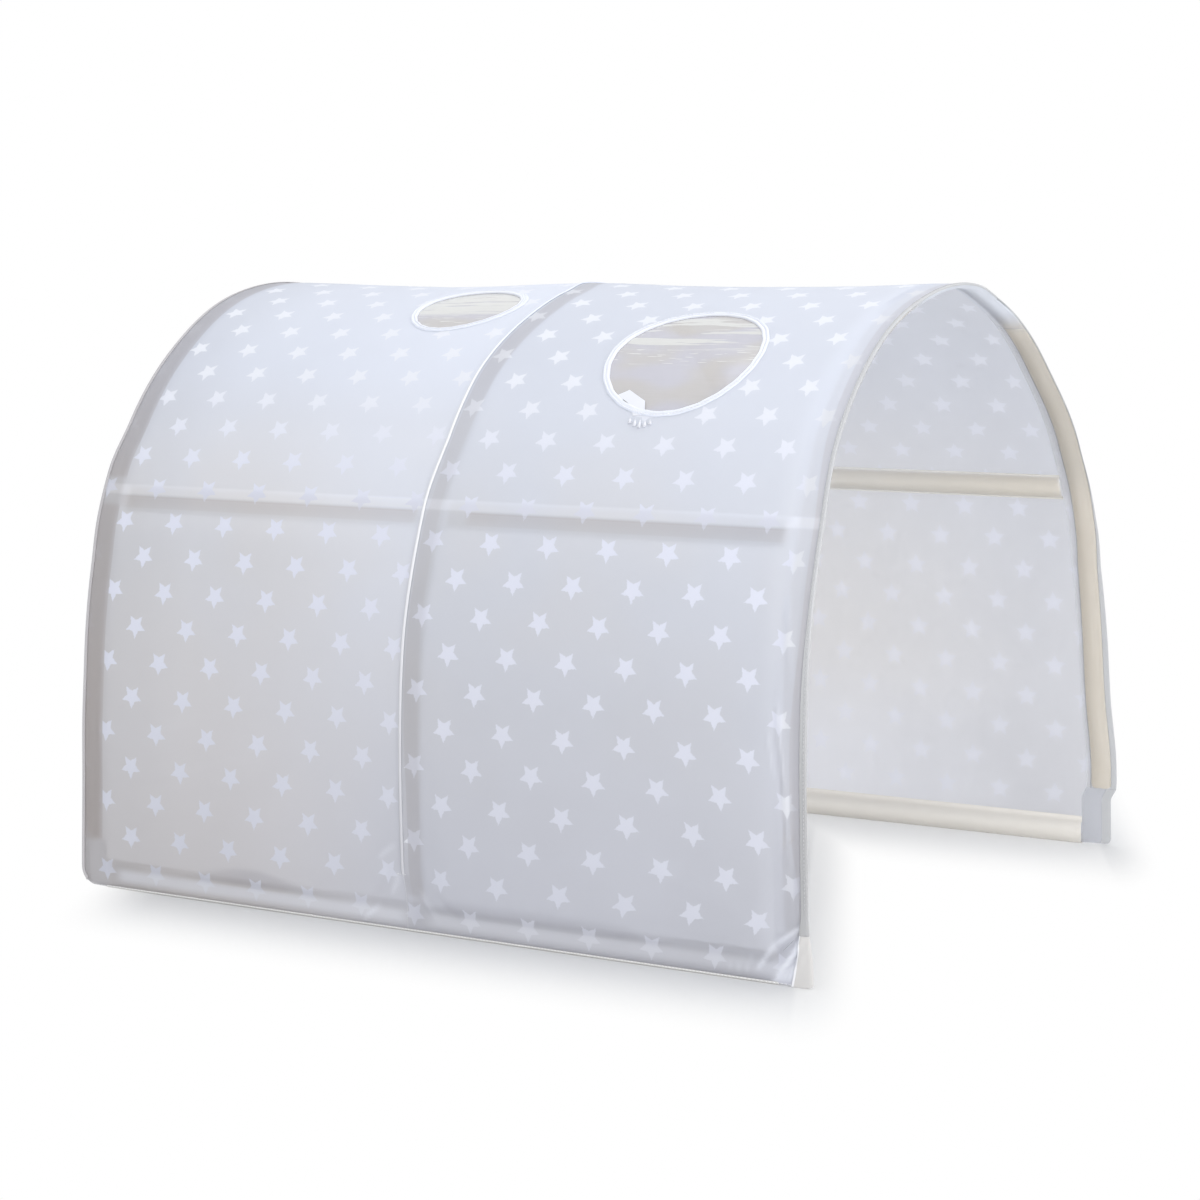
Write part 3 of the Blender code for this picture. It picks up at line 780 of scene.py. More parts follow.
def seam_tape():
    """White welt with painted shade near the hems; over the roof it takes the cloth's lit colour.
    """
    colours = bpy.context.scene.tunnel_colours
    graph = Graph("seam_tape")
    arc = graph.parts(graph.cut())[1]
    climbed = graph.climbed(arc)
    colour = graph.mix(graph.step(climbed, 0.08, 0.56), colours.welt_shaded_low, colours.tape)
    colour = graph.mix(graph.step(climbed, 0.62, 0.82), colour, colours.cloth_roof_lit)
    return graph.finish(colour, 0.82)


def rim_cloth(name, white_from):
    """Binding of a window: cloth outside, then a sunk seam, then white tape."""
    colours = bpy.context.scene.tunnel_colours
    graph = Graph(name)
    cut = graph.cut()
    inset = graph.parts(cut)[0]
    white = graph.step(inset, white_from - 0.0006, white_from)
    colour = graph.mix(white, colours.rim, colours.rim_white)
    sunk = graph.band(inset, white_from - 0.0008, white_from, 0.0003)
    colour = graph.mix(graph.times(sunk, 0.5), colour, colours.thread_dark)
    height = graph.threads(cut, (1200.0, 500.0, 0.0))
    return graph.finish(colour, 0.82, graph.bump(height, 0.3, 0.0004), Sheen_Weight=0.1)


def plain_cotton(name, colour):
    return Graph(name).finish(getattr(bpy.context.scene.tunnel_colours, colour), 0.85)


def planed_wood(name, base):
    """Pale planed wood whose grain runs along the piece."""
    colours = bpy.context.scene.tunnel_colours
    graph = Graph(name)
    cut = graph.cut()
    grain = graph.threads(cut, (9.0, 260.0, 90.0), 5.0, 0.6)
    clouds = graph.threads(cut, (5.0, 30.0, 1.0))
    base, dark = getattr(colours, base), getattr(colours, base + "_grain")
    colour = graph.mix(graph.step(grain, 0.3, 0.7), base, dark)
    colour = graph.mix(graph.times(clouds, 0.35), colour, dark)
    fibres = graph.threads(cut, (40.0, 2400.0, 900.0), 3.0)
    return graph.finish(colour, 0.55, graph.bump(fibres, 0.2, 0.0003))


def clear_film(name, bright_from, cover):
    """Soft film, milky where it is smooth, with painted glare on its wrinkles above a place on the
    arch.
    """
    colours = bpy.context.scene.tunnel_colours
    graph = Graph(name)
    cut = graph.cut()
    arc = graph.parts(cut)[1]
    waves = graph.threads(cut, (7.0, 100.0, 0.0), 3.0, 0.6)
    flecks = graph.threads(cut, (38.0, 420.0, 0.0), 1.0)
    # Painted glare: pale streaks and flecks on the upper part of the film
    streaks = graph.times(graph.step(waves, cover, cover + 0.05),
                          graph.step(arc, bright_from - 0.006, bright_from + 0.008))
    dashes = graph.times(graph.step(flecks, 0.63, 0.67),
                         graph.band(arc, bright_from - 0.030, bright_from, 0.004))
    glare = graph.most(streaks, dashes)
    broad = graph.step(graph.threads(cut, (9.0, 16.0, 0.0), 1.0), 0.4, 0.6)
    smooth_film = graph.mix(broad, colours.film, colours.film_cool)
    colour = graph.mix(glare, smooth_film, colours.film_glare)
    graph.put(graph.shader.inputs["Alpha"], graph.scaled(glare, 0.16, 0.66))
    return graph.finish(colour, 0.14, graph.bump(waves, 0.3, 0.003), Coat_Weight=0.4)


# Pieces

class TunnelCloth(bpy.types.PropertyGroup):
    """How the cover is cut and hangs."""

    wall_dip: FloatProperty(name="Wall dip", description="How far a wall dips between two laths",
                            default=0.007, min=0.0, max=0.02, unit="LENGTH")
    roof_dip: FloatProperty(name="Roof dip", description="How far the roof dips between two laths",
                            default=0.005, min=0.0, max=0.02, unit="LENGTH")
    wrinkle: FloatProperty(name="Wrinkles", description="Height of the small wrinkles",
                           default=0.0012, min=0.0, max=0.005, unit="LENGTH")
    stitch_pitch: FloatProperty(name="Stitch pitch", description="From one stitch to the next",
                                default=0.0044, min=0.003, max=0.02, unit="LENGTH")
    stitch_length: FloatProperty(name="Stitch length", description="Length of a stitch",
                                 default=0.0028, min=0.001, max=0.01, unit="LENGTH")
    cells_along: IntProperty(name="Cells along", description="Cells of a panel along the tunnel",
                             default=100, min=20, max=120)
    cells_round: IntProperty(name="Cells round", description="Cells of a panel round the arch",
                             default=400, min=80, max=460)


class TunnelPrint(bpy.types.PropertyGroup):
    """The star print."""

    star_tip: FloatProperty(name="Star", description="From a star's middle to its points",
                            default=0.0155, min=0.005, max=0.03, unit="LENGTH")
    star_notch: FloatProperty(name="Notch",
                              description="Notches' distance, as a share of the points'",
                              default=0.49, min=0.3, max=0.9, subtype="FACTOR")
    star_blur: FloatProperty(name="Edge", description="Half the width of a star's soft edge",
                             default=0.0005, min=0.0001, max=0.003, unit="LENGTH")
    first_along: FloatProperty(name="First star", description="A star's place along the tunnel",
                               default=0.202, unit="LENGTH")
    first_round: FloatProperty(name="Its height", description="That star's place round the arch",
                               default=0.4173, unit="LENGTH")
    pitch_along: FloatProperty(name="Pitch along", description="Between stars along the tunnel",
                               default=0.0785, min=0.04, max=0.2, unit="LENGTH")
    pitch_round: FloatProperty(name="Pitch round", description="Between stars round the arch",
                               default=0.0879, min=0.04, max=0.2, unit="LENGTH")


def colour_property(name, description, default):
    return FloatVectorProperty(name=name, description=description, subtype="COLOR", size=4,
                               min=0.0, max=1.0, default=(*default, 1.0))


class TunnelColours(bpy.types.PropertyGroup):
    """Colours, as linear values."""

    cloth_cool: colour_property("Cool cloth", "Cloth where it is bluish", (0.69, 0.715, 0.79))
    cloth_warm: colour_property("Warm cloth", "Cloth where it is neutral", (0.725, 0.715, 0.73))
    # Painted light and shade on the outer cloth: lighter over the roof, darker near the hems
    cloth_roof_lit: colour_property("Roof cloth", "Cloth over the roof", (0.75, 0.785, 0.88))
    low_cool_shaded: colour_property("Low cool cloth", "Cloth near the right hems", (0.47, 0.475, 0.525))
    low_warm_shaded: colour_property("Low warm cloth", "Cloth near the left hems", (0.62, 0.59, 0.59))
    # Painted light and shade on the inner face: one cloth, lighter deep inside and near the hems,
    # darker at the mouths and the crown
    back_low: colour_property("Low inner face", "The inner face deep inside, near the hems",
                              (0.99, 0.98, 0.99))
    back_deep: colour_property("Deep inner face", "The inner walls deep inside", (0.93, 0.89, 0.84))
    back_mouth: colour_property("Inner face at the mouths", "The inner walls near the mouths",
                                (0.70, 0.69, 0.70))
    back_crown: colour_property("Inner face of the roof", "The inner face at the crown",
                                (0.51, 0.52, 0.56))
    back_edge: colour_property("Roof at the mouths", "The inner face at the crown of a mouth",
                               (0.45, 0.455, 0.49))
    # Painted light and shade on the print: one star colour made darker near the hems and lighter
    # over the roof
    star: colour_property("Star", "Printed stars", (0.82, 0.84, 0.96))
    star_low_shaded: colour_property("Low star", "Printed stars near the hems", (0.66, 0.67, 0.75))
    star_roof_lit: colour_property("Roof star", "Printed stars over the roof", (0.92, 0.94, 1.0))
    sleeve: colour_property("Sleeve", "Thin sleeves of the slats", (1.0, 0.98, 0.94))
    sleeve_low: colour_property("Sleeve of the hems", "The hem slats' sleeves", (1.0, 0.96, 0.89))
    # With the sleeve above, painted light and shade: the slats' sleeves lighter deep inside, darker
    # near the mouths
    sleeve_mouth: colour_property("Sleeve at the mouths", "The slats' sleeves near the mouths",
                                  (0.94, 0.90, 0.83))
    sleeve_shade: colour_property("Shaded sleeve", "Sleeve of the right lath at its shoulder",
                                  (0.45, 0.44, 0.42))
    sleeve_crown: colour_property("Sleeve at the crown", "Sleeve of the right lath at its crown",
                                  (0.78, 0.81, 0.88))
    foot_flap: colour_property("Foot flap", "Flap at the near right foot", (0.62, 0.605, 0.59))
    # Painted shadow of the wood behind the cloth
    wood_shadow: colour_property("Wood through cloth", "What wood behind the cloth takes off it",
                                  (0.84, 0.80, 0.78))
    # Lighter doubled cloth, and painted light on fold crests and over the hems
    doubled: colour_property("Doubled cloth", "Doubled cloth and the crests of folds",
                             (0.90, 0.92, 1.0))
    fold_shade: colour_property("Shade of folds", "What a fold's shade takes off the cloth",
                                (0.72, 0.71, 0.73))
    tape: colour_property("Tape", "Bindings and sleeves", (0.87, 0.87, 0.89))
    tape_shade: colour_property("Tape shade", "Duller places on the tape", (0.78, 0.78, 0.80))
    # The mouths' bindings are white tape painted grey as painted shade, darker still near the right
    # one's near foot
    binding: colour_property("Binding", "Bound edge of the right mouth", (0.545, 0.55, 0.56))
    binding_shaded_low: colour_property("Low binding", "That edge near its near foot",
                                 (0.42, 0.42, 0.425))
    # Painted shade on the welt near the hems
    welt_shaded_low: colour_property("Low welt", "The seam's welt near the hems", (0.60, 0.60, 0.63))
    rim: colour_property("Rims", "Outer part of the windows' bindings", (0.80, 0.83, 0.92))
    rim_white: colour_property("White of the rims", "Inner part of the windows' bindings",
                               (0.83, 0.85, 0.91))
    # Painted shade: the left mouth's white binding painted grey
    binding_shaded_left: colour_property("Grey binding", "Bound edge of the left mouth",
                                  (0.58, 0.56, 0.57))
    binding_hem: colour_property("Hem binding", "Bound edges of the hems", (0.74, 0.73, 0.70))
    # Painted shade: the feet's inner side painted as the cloth's inner face in shade
    foot_shaded: colour_property("Feet", "Inner side of the mouths' feet", (0.68, 0.69, 0.73))
    scrap: colour_property("Tape end", "Folded end of tape and thread ends at the right window",
                           (0.80, 0.81, 0.86))
    thread: colour_property("Thread", "Sewing thread", (0.90, 0.90, 0.91))
    # Painted shade: the mouths' white thread painted grey
    thread_mouth_shaded: colour_property("Thread of the mouths", "Sewing thread round the mouths",
                                  (0.60, 0.60, 0.61))
    thread_dark: colour_property("Shaded thread", "Thread sunk in the seam", (0.50, 0.50, 0.54))
    lath: colour_property("Laths", "Wood of the bent laths", (0.80, 0.72, 0.58))
    lath_grain: colour_property("Laths' grain", "Grain of the bent laths", (0.74, 0.65, 0.50))
    # The slats are the laths' wood painted lighter, as painted light where little light reaches
    # them inside
    slat: colour_property("Slats", "Wood of the straight slats", (0.90, 0.81, 0.63))
    slat_grain: colour_property("Slats' grain", "Grain of the straight slats", (0.85, 0.75, 0.57))
    film: colour_property("Film", "Clear film", (0.62, 0.595, 0.58))
    film_cool: colour_property("Cool film", "Clear film where it is bluish", (0.62, 0.61, 0.67))
    # Painted glare on the film's wrinkles
    film_glare: colour_property("Film glare", "Wrinkles of the film", (0.74, 0.74, 0.72))


def on_print(x, arc):
    """Place on the print, which is pulled towards the near right foot and down the far wall."""
    pulled = 0.022 * smooth(x, 0.08, 0.42) * ebb(arc, 0.10, 0.30)
    pulled *= 0.4 + 0.6 * smooth(arc, 0.02, 0.08)
    slipped = 0.036 * smooth(arc, 0.85, 1.20) - 0.016 * smooth(arc, 1.38, 1.50)
    along = x + LEAN * (0.5 - arch(arc)[1] / HEIGHT) - pulled
    along += pulled_out(x, arc) * ebb(x, 0.10, 0.30)
    offset_x, offset_arc = (0.002, 0.0027) if x < SEAM_X else (0.0, 0.0)
    return along - offset_x, arc - offset_arc - slipped, 0.0


def cut_window(shape, cut, centre_x, centre_arc, radius, cell):
    """Moves the vertices beside a round hole onto its edge, and removes the faces inside it."""
    for vert in shape.verts:
        flat = vert[cut]
        off = Vector((flat.x - centre_x, flat.y - centre_arc))
        if abs(off.length - radius) < 0.75 * cell:
            off = off.normalized() * radius
            vert[cut] = (centre_x + off.x, centre_arc + off.y, 0.0)
    inside = []
    for face in shape.faces:
        middle = sum((vert[cut] for vert in face.verts), Vector()) / len(face.verts)
        if math.hypot(middle.x - centre_x, middle.y - centre_arc) < radius:
            inside.append(face)
    bmesh.ops.delete(shape, geom=inside, context="FACES")


class TUNNEL_OT_cover(bpy.types.Operator):
    """Make the two printed panels of the cover."""

    bl_idname = "tunnel.cover"
    bl_label = "Cover"

    def execute(self, context):
        sizes = context.scene.tunnel_cloth
        finishes = [printed_cloth("printed_cloth", False), printed_cloth("cloth_back", True)]
        low, high = TAPE + GAP, WHOLE_ARC - TAPE - GAP
        for word, side in (("left", -1), ("right", 1)):
            seam, edge = SEAM_X + side * GAP / 2, side * (LENGTH / 2 - TAPE - GAP)

            def flat(u, v):
                u -= 0.40 * math.sin(2 * math.pi * u) / (2 * math.pi)
                v -= 0.38 * math.sin(2 * math.pi * v) / (2 * math.pi)
                x, arc = seam + (edge - seam) * u, low + (high - low) * v
                return Vector((x, arc, 0.0)), (x, arc, 0.0)

            shape = grid_shape(sizes.cells_along, sizes.cells_round, flat)
            cut = shape.verts.layers.float_vector["cut"]
            for window, centre_x, centre_arc, radius in WINDOWS:
                if window == word:
                    cell = 1.3 * (high - low) / sizes.cells_round
                    cut_window(shape, cut, centre_x, centre_arc, radius - RIM_WIDTH / 2, cell)
            # The new layer moves the first one, which is then looked up again
            print_place = shape.verts.layers.float_vector.new("print")
            cut = shape.verts.layers.float_vector["cut"]
            for vert in shape.verts:
                x, arc, _ = vert[cut]
                vert[print_place] = on_print(x, arc)
                # The cut's third value holds the painted light and shade of the folds and hems
                vert[cut] = (x, arc, cloth_tone(x, arc))
                vert.co = place(x, arc, cloth_depth(x, arc))
            shape.normal_update()
            face_outwards(shape)
            add_piece("panel_" + word, shape, "cover", finishes,
                      ["cover_" + word], CLOTH, -1.0)
        return {"FINISHED"}


def section_strip(name, line, low, high, where, finish, replaced, rows=200):
    """Tape folded along the points of its middle line, and carried along a run."""
    points = [Vector(point) for point in line]
    lengths = [0.0]
    for start, end in zip(points, points[1:]):
        lengths.append(lengths[-1] + (end - start).length)

    def spot(u, v):
        index = round(u * (len(points) - 1))
        run = low + (high - low) * v
        return where(points[index].x, points[index].y, run), (lengths[index], run, 0.0)

    shape = grid_shape(len(points) - 1, rows, spot)
    return add_piece(name, shape, "cover", [finish], replaced, TAPE)


class TUNNEL_OT_tapes(bpy.types.Operator):
    """Make the casings of the laths, the hems and the sleeves of the raised slats."""

    bl_idname = "tunnel.tapes"
    bl_label = "Tapes and sleeves"

    def execute(self, context):
        thin = tape_cloth("thin_sleeve", 0.18, -0.001, "tape")
        rows = tape_cloth("row_sleeve", 0.50, -0.001, past="sleeve")
        hems = tape_cloth("hem_sleeve", 0.82, 0.0034, "binding_hem", "sleeve_low")
        side = LATH_WIDTH / 2 + SIDE_CLEAR
        hat = [(-MIDDLE_EDGE, LINING), (-side, LINING), (-side, CASING_DEPTH),
               (side, CASING_DEPTH), (side, LINING), (MIDDLE_EDGE, LINING)]
        section_strip("middle_sleeve", hat, HEM_TOP + GAP, WHOLE_ARC - HEM_TOP - GAP,
                      lambda x, depth, arc: place(x, arc, depth), thin, ["middle_casing"])
        # The left mouth's binding gets painted shade
        self.mouth("left", -1, "binding_shaded_left")
        self.mouth("right", 1, "binding")
        for word, base, sign in (("near", 0.0, 1), ("far", WHOLE_ARC, -1)):
            self.hem(word, base, sign, hems)
            self.row(word, rows)
        return {"FINISHED"}

    def mouth(self, word, sign, edge):
        """Casing of a mouth's lath, folded round the mouth's edge, and the flaps at its feet."""
        inner = MOUTH_BAND - LATH_SHIFT - SIDE_CLEAR
        outer = inner + LATH_WIDTH + 2 * SIDE_CLEAR
        turn = 0.0009
        fold = [(turn + (LEG_WIDTH - turn) * share, OUTSIDE) for share in (1, 0.8, 0.6, 0.4, 0.2)]
        fold += [(turn, OUTSIDE), (TAPE / 2, OUTSIDE + 0.0004), (TAPE / 2, LINING - 0.0004),
                 (turn, LINING)]
        hat = fold + [(inner, LINING), (inner, CASING_DEPTH), (outer, CASING_DEPTH),
                      (outer, LINING), (MOUTH_EDGE, LINING)]
        sleeve = tape_cloth("mouth_sleeve_" + word, 0.18, 0.0072, edge)
        # The feet's inner side gets painted shade
        foot = tape_cloth("foot_tape_" + word, 0.50, 0.0172, edge, "foot_shaded")
        feet = {"near": foot, "far": foot}
        if word == "right":
            feet["near"] = tape_cloth("foot_flap_right", 0.50, 0.0172, "foot_flap", "foot_shaded")
        near, far = FEET[word]

        def round_mouth(u, depth, arc):
            if depth > 0 and inner - TOLERANCE < u < outer + TOLERANCE:
                u += LATH_SHIFT - lath_shift(arc)
            if depth < 0 and u > turn + TOLERANCE and sign > 0:
                share = (u - turn) / (LEG_WIDTH - turn)
                reach = 0.0030 * ebb(arc, 0.30, 0.42) + 0.0040 * ebb(arc, 0.052, 0.076)
                u += share * (reach + 0.0140 * max(1 - arc / 0.055, 0.0))
                if arc < 0.080:
                    lift = 0.0006 + max(folds(LENGTH / 2 - u, arc)[0], 0.0)
                    depth -= lift * smooth(share, 0.0, 0.3)
            return place(sign * (LENGTH / 2 - u), arc, depth)

        section_strip("mouth_tape_" + word, hat, near, WHOLE_ARC - far, round_mouth, sleeve,
                      ["mouth_casing_" + word])
        for end, low, high in (("near", 0.0, near - GAP),
                               ("far", WHOLE_ARC - far + GAP, WHOLE_ARC)):
            node = "%s_%s" % (word, end)
            section_strip("foot_tape_" + node, fold + [(MOUTH_EDGE, LINING)], low, high,
                          round_mouth, feet[end], ["corner_flap_" + node], 24)

    def hem(self, word, base, sign, finish):
        """Casing of a hem, folded round the cloth's edge and over the hem slats."""
        section = [(0.0026, OUTSIDE), (0.0008, OUTSIDE), (TAPE / 2, OUTSIDE + 0.0004),
                   (TAPE / 2, HEM_DEPTH), (HEM_SHELF, HEM_DEPTH), (HEM_SHELF, LINING),
                   (HEM_TOP, LINING)]
        section_strip("hem_tape_" + word, section, -BAY_END, BAY_END,
                      lambda height, depth, x: place(x, base + sign * height, depth), finish,
                      ["hem_casing_" + word])

    def row(self, word, finish):
        """Sleeves of the two raised slats in one wall."""
        section = [(-POCKET_SIDE - FLANGE, LINING), (-POCKET_SIDE, LINING),
                   (-POCKET_SIDE, POCKET_DEPTH), (POCKET_SIDE, POCKET_DEPTH),
                   (POCKET_SIDE, LINING), (POCKET_SIDE + FLANGE, LINING)]
        middle, up, inward = flat_wall(word)

        def along_row(height, depth, x):
            return middle + up * height + inward * depth + Vector((x, 0.0, 0.0))

        for side, hand in (("left", -1), ("right", 1)):
            node = "%s_%s" % (side, word)
            section_strip("slat_sleeve_" + node, section, hand * BAY_START, hand * BAY_END,
                          along_row, finish, ["slat_pocket_" + node], 60)


def flat_wall(word, foot=SLAT_ROW - ROW_HALF, head=SLAT_ROW + ROW_HALF):
    """Middle, upward direction and inward direction of the flat wall that holds a slat."""
    if word == "far":
        foot, head = WHOLE_ARC - foot, WHOLE_ARC - head
    low, high = place(0.0, foot), place(0.0, head)
    up = (high - low) / math.hypot(high.y - low.y, high.z - low.z)
    side = 1.0 if word == "near" else -1.0
    inward = Vector((LEAN * side * up.y / HEIGHT, side * up.z, -side * up.y))
    return (low + high) / 2, up, inward


def plank(length):
    """Straight slat along X with rounded corners and eased edges."""
    shape = bmesh.new()
    bmesh.ops.create_cube(shape, size=1.0)
    bmesh.ops.scale(shape, vec=(length, LATH_WIDTH, LATH_THICK), verts=shape.verts)
    upright = [edge for edge in shape.edges
               if abs(edge.verts[0].co.z - edge.verts[1].co.z) > LATH_THICK / 2]
    bmesh.ops.bevel(shape, geom=upright, offset=LATH_CORNER, offset_type="OFFSET", segments=6,
                    profile=0.5, affect="EDGES", material=-1)
    rims = [edge for edge in shape.edges
            if edge.verts[0].co.z * edge.verts[1].co.z > 0 and edge.calc_face_angle(0.0) > 1.0]
    bmesh.ops.bevel(shape, geom=rims, offset=0.0005, offset_type="OFFSET", segments=2,
                    profile=0.5, affect="EDGES", material=-1)
    return shape


def record_grain(shape):
    """Keeps the straight piece's places for its grain."""
    cut = shape.verts.layers.float_vector.new("cut")
    for vert in shape.verts:
        vert[cut] = vert.co


class TUNNEL_OT_wood(bpy.types.Operator):
    """Make the bent laths and the straight slats."""

    bl_idname = "tunnel.wood"
    bl_label = "Laths and slats"

    def execute(self, context):
        finish = planed_wood("slat_wood", "slat")
        bent = planed_wood("lath_wood", "lath")
        mouth = LENGTH / 2 - MOUTH_BAND - LATH_WIDTH / 2
        for word, sign in (("left", -1), ("middle", 0), ("right", 1)):
            near, far = FEET[word]
            length = WHOLE_ARC - near - far
            shape = plank(length)
            steps = 110
            for step in range(1, steps):
                bmesh.ops.bisect_plane(shape, geom=shape.verts[:] + shape.edges[:] + shape.faces[:],
                                       plane_co=(length * (step / steps - 0.5), 0.0, 0.0),
                                       plane_no=(1.0, 0.0, 0.0))
            record_grain(shape)
            for vert in shape.verts:
                arc = vert.co.x + near + length / 2
                x = sign * (mouth + lath_shift(arc)) + vert.co.y
                vert.co = place(x, arc, LATH_IN + LATH_THICK / 2 - vert.co.z)
            bmesh.ops.recalc_face_normals(shape, faces=shape.faces)
            add_piece("lath_" + word, shape, "cover", [bent], ["arch_lath_" + word])
        for word in ("near", "far"):
            for side_word, hand in (("left", -1), ("right", 1)):
                node = "%s_%s" % (side_word, word)
                middle, up, inward = flat_wall(word)
                start = hand * (BAY_START + SLAT_PLAY / 2 + SLAT_LENGTH / 2)
                self.slat("raised_" + node, "raised_slat_" + node, start, middle, up, inward,
                          SLAT_IN, finish)
                middle, up, inward = flat_wall(word, 0.0, LEG)
                middle = middle + up * (HEM_SLAT_LOW + LATH_WIDTH / 2 - LEG / 2)
                start = hand * (HEM_STOP + SLAT_LENGTH / 2)
                self.slat("hem_" + node, "hem_slat_" + node, start, middle, up, inward,
                          HEM_SLAT_IN, finish)
        return {"FINISHED"}

    def slat(self, name, node, start, middle, up, inward, depth, finish):
        shape = plank(SLAT_LENGTH)
        record_grain(shape)
        for vert in shape.verts:
            along, across, out = vert.co
            vert.co = (middle + up * across + inward * (depth + LATH_THICK / 2 - out)
                       + Vector((start + along, 0.0, 0.0)))
        bmesh.ops.recalc_face_normals(shape, faces=shape.faces)
        add_piece("slat_" + name, shape, node, [finish], [node])


def outwards_at(arc):
    """Direction straight out of the cover."""
    _, _, in_y, in_z = arch(arc)
    return Vector((0.0, -in_y, -in_z))


def on_cloth(x, arc, out):
    """Point that stands a little proud of the cover's outer face."""
    return place(x, arc, cloth_depth(x, arc) - out)


class TUNNEL_OT_windows(bpy.types.Operator):
    """Make the clear films and their bindings."""

    bl_idname = "tunnel.windows"
    bl_label = "Windows"

    def execute(self, context):
        rims = {"left": rim_cloth("rim_left", 0.0058), "right": rim_cloth("rim_right", 0.0040)}
        films = {"left": clear_film("film_left", 0.822, 0.40),
                 "right": clear_film("film_right", 0.748, 0.50)}
        for word, x, arc, radius in WINDOWS:
            self.film(word, x, arc, radius, films[word])
            self.rim(word, x, arc, radius, rims[word])
        self.scrap_and_tufts()
        return {"FINISHED"}

    def film(self, word, x, arc, radius, finish):
        """Round sheet that is held stretched in its rim."""
        def spot(u, v):
            reach, turn = radius * (0.02 + 0.98 * u), 2 * math.pi * v
            px, pa = x + reach * math.cos(turn), arc + reach * math.sin(turn)
            return place(px, pa, cloth_depth(px, pa) + CLOTH + GAP + FILM / 2), (px, pa, 0.0)

        shape = grid_shape(24, 96, spot)
        bmesh.ops.remove_doubles(shape, verts=shape.verts, dist=0.00001)
        inner = [edge for edge in shape.edges if edge.is_boundary
                 and (edge.verts[0].co - place(x, arc)).length < radius / 2]
        bmesh.ops.holes_fill(shape, edges=inner, sides=0)
        film = add_piece("window_sheet_" + word, shape, "cover", [finish],
                         ["window_film_" + word], FILM)

    def rim(self, word, x, arc, radius, finish):
        """Bound edge of a window, a little uneven as sewn tape is."""
        def spot(u, v):
            inset, out = RIM[round(u * (len(RIM) - 1))]
            turn = 2 * math.pi * v
            reach = radius - inset + 0.0003 * math.sin(23 * turn)
            px, pa = x + reach * math.cos(turn), arc + reach * math.sin(turn)
            return on_cloth(px, pa, out), (inset, radius * turn, 0.0)

        shape = grid_shape(len(RIM) - 1, 160, spot)
        bmesh.ops.remove_doubles(shape, verts=shape.verts, dist=0.00001)
        add_piece("window_binding_" + word, shape, "cover", [finish],
                  ["window_rim_" + word], 0.0005)

    def scrap_and_tufts(self):
        """A folded end of tape inside the right rim, and the thread ends gathered below it."""
        finish = plain_cotton("tape_end", "scrap")
        line = [Vector(spot) for spot in ((0.2010, 0.6600), (0.2120, 0.6680), (0.2370, 0.6530),
                                          (0.2400, 0.6440), (0.2425, 0.6350))]

        def folded(u, v):
            index = round(v * (len(line) - 1))
            before, after = line[max(index - 1, 0)], line[min(index + 1, len(line) - 1)]
            along = (after - before).normalized()
            x, arc = line[index] + Vector((-along.y, along.x)) * (u - 0.8) * 0.0150
            return on_cloth(x, arc, 0.0004 + 0.0006 * (index % 2)), (x, arc, 0.0)

        add_piece("tape_end", grid_shape(2, len(line) - 1, folded), "cover", [finish],
                  thickness=0.0004)
        shape = bmesh.new()
        for x, arc, length in ((0.2300, 0.6275, 0.006), (0.2372, 0.6265, 0.009),
                               (0.2440, 0.6255, 0.010), (0.2508, 0.6250, 0.008),
                               (0.2570, 0.6262, 0.006)):
            top, foot = on_cloth(x, arc, 0.0014), on_cloth(x + 0.001, arc - length, 0.0012)
            down, out = (foot - top).normalized(), outwards_at(arc)
            turn = Matrix((down.cross(out).normalized(), out, -down)).transposed().to_4x4()
            bmesh.ops.create_cone(shape, cap_ends=True, segments=8, radius1=0.0026, radius2=0.0009,
                                  depth=length, matrix=Matrix.Translation((top + foot) / 2) @ turn
                                  @ Matrix.Diagonal((1.0, 0.45, 1.0, 1.0)))
        add_piece("thread_ends", shape, "cover", [finish])


class TUNNEL_OT_seam(bpy.types.Operator):
    """Make the welt over the seam between the panels."""

    bl_idname = "tunnel.seam"
    bl_label = "Seam"

    def execute(self, context):
        def over_seam(offset, out, arc):
            return place(SEAM_X + offset + 0.0005 * noise.noise(Vector((arc * 9, 0, 3))), arc,
                         -GAP - out)

        section_strip("seam_welt", WELT, WELT_FOOT, WHOLE_ARC - WELT_FOOT, over_seam, seam_tape(),
                      ["seam_piping"], 260)
        return {"FINISHED"}


def dash(shape, start, end, out):
    """One stitch between two points, standing a little proud along out."""
    along = end - start
    turn = Matrix((along.normalized(), out.cross(along).normalized(), out)).transposed()
    size = Matrix.Diagonal((along.length, 0.0006, 0.0004, 1.0))
    bmesh.ops.create_cube(shape, size=1.0,
                          matrix=Matrix.Translation((start + end) / 2) @ turn.to_4x4() @ size)


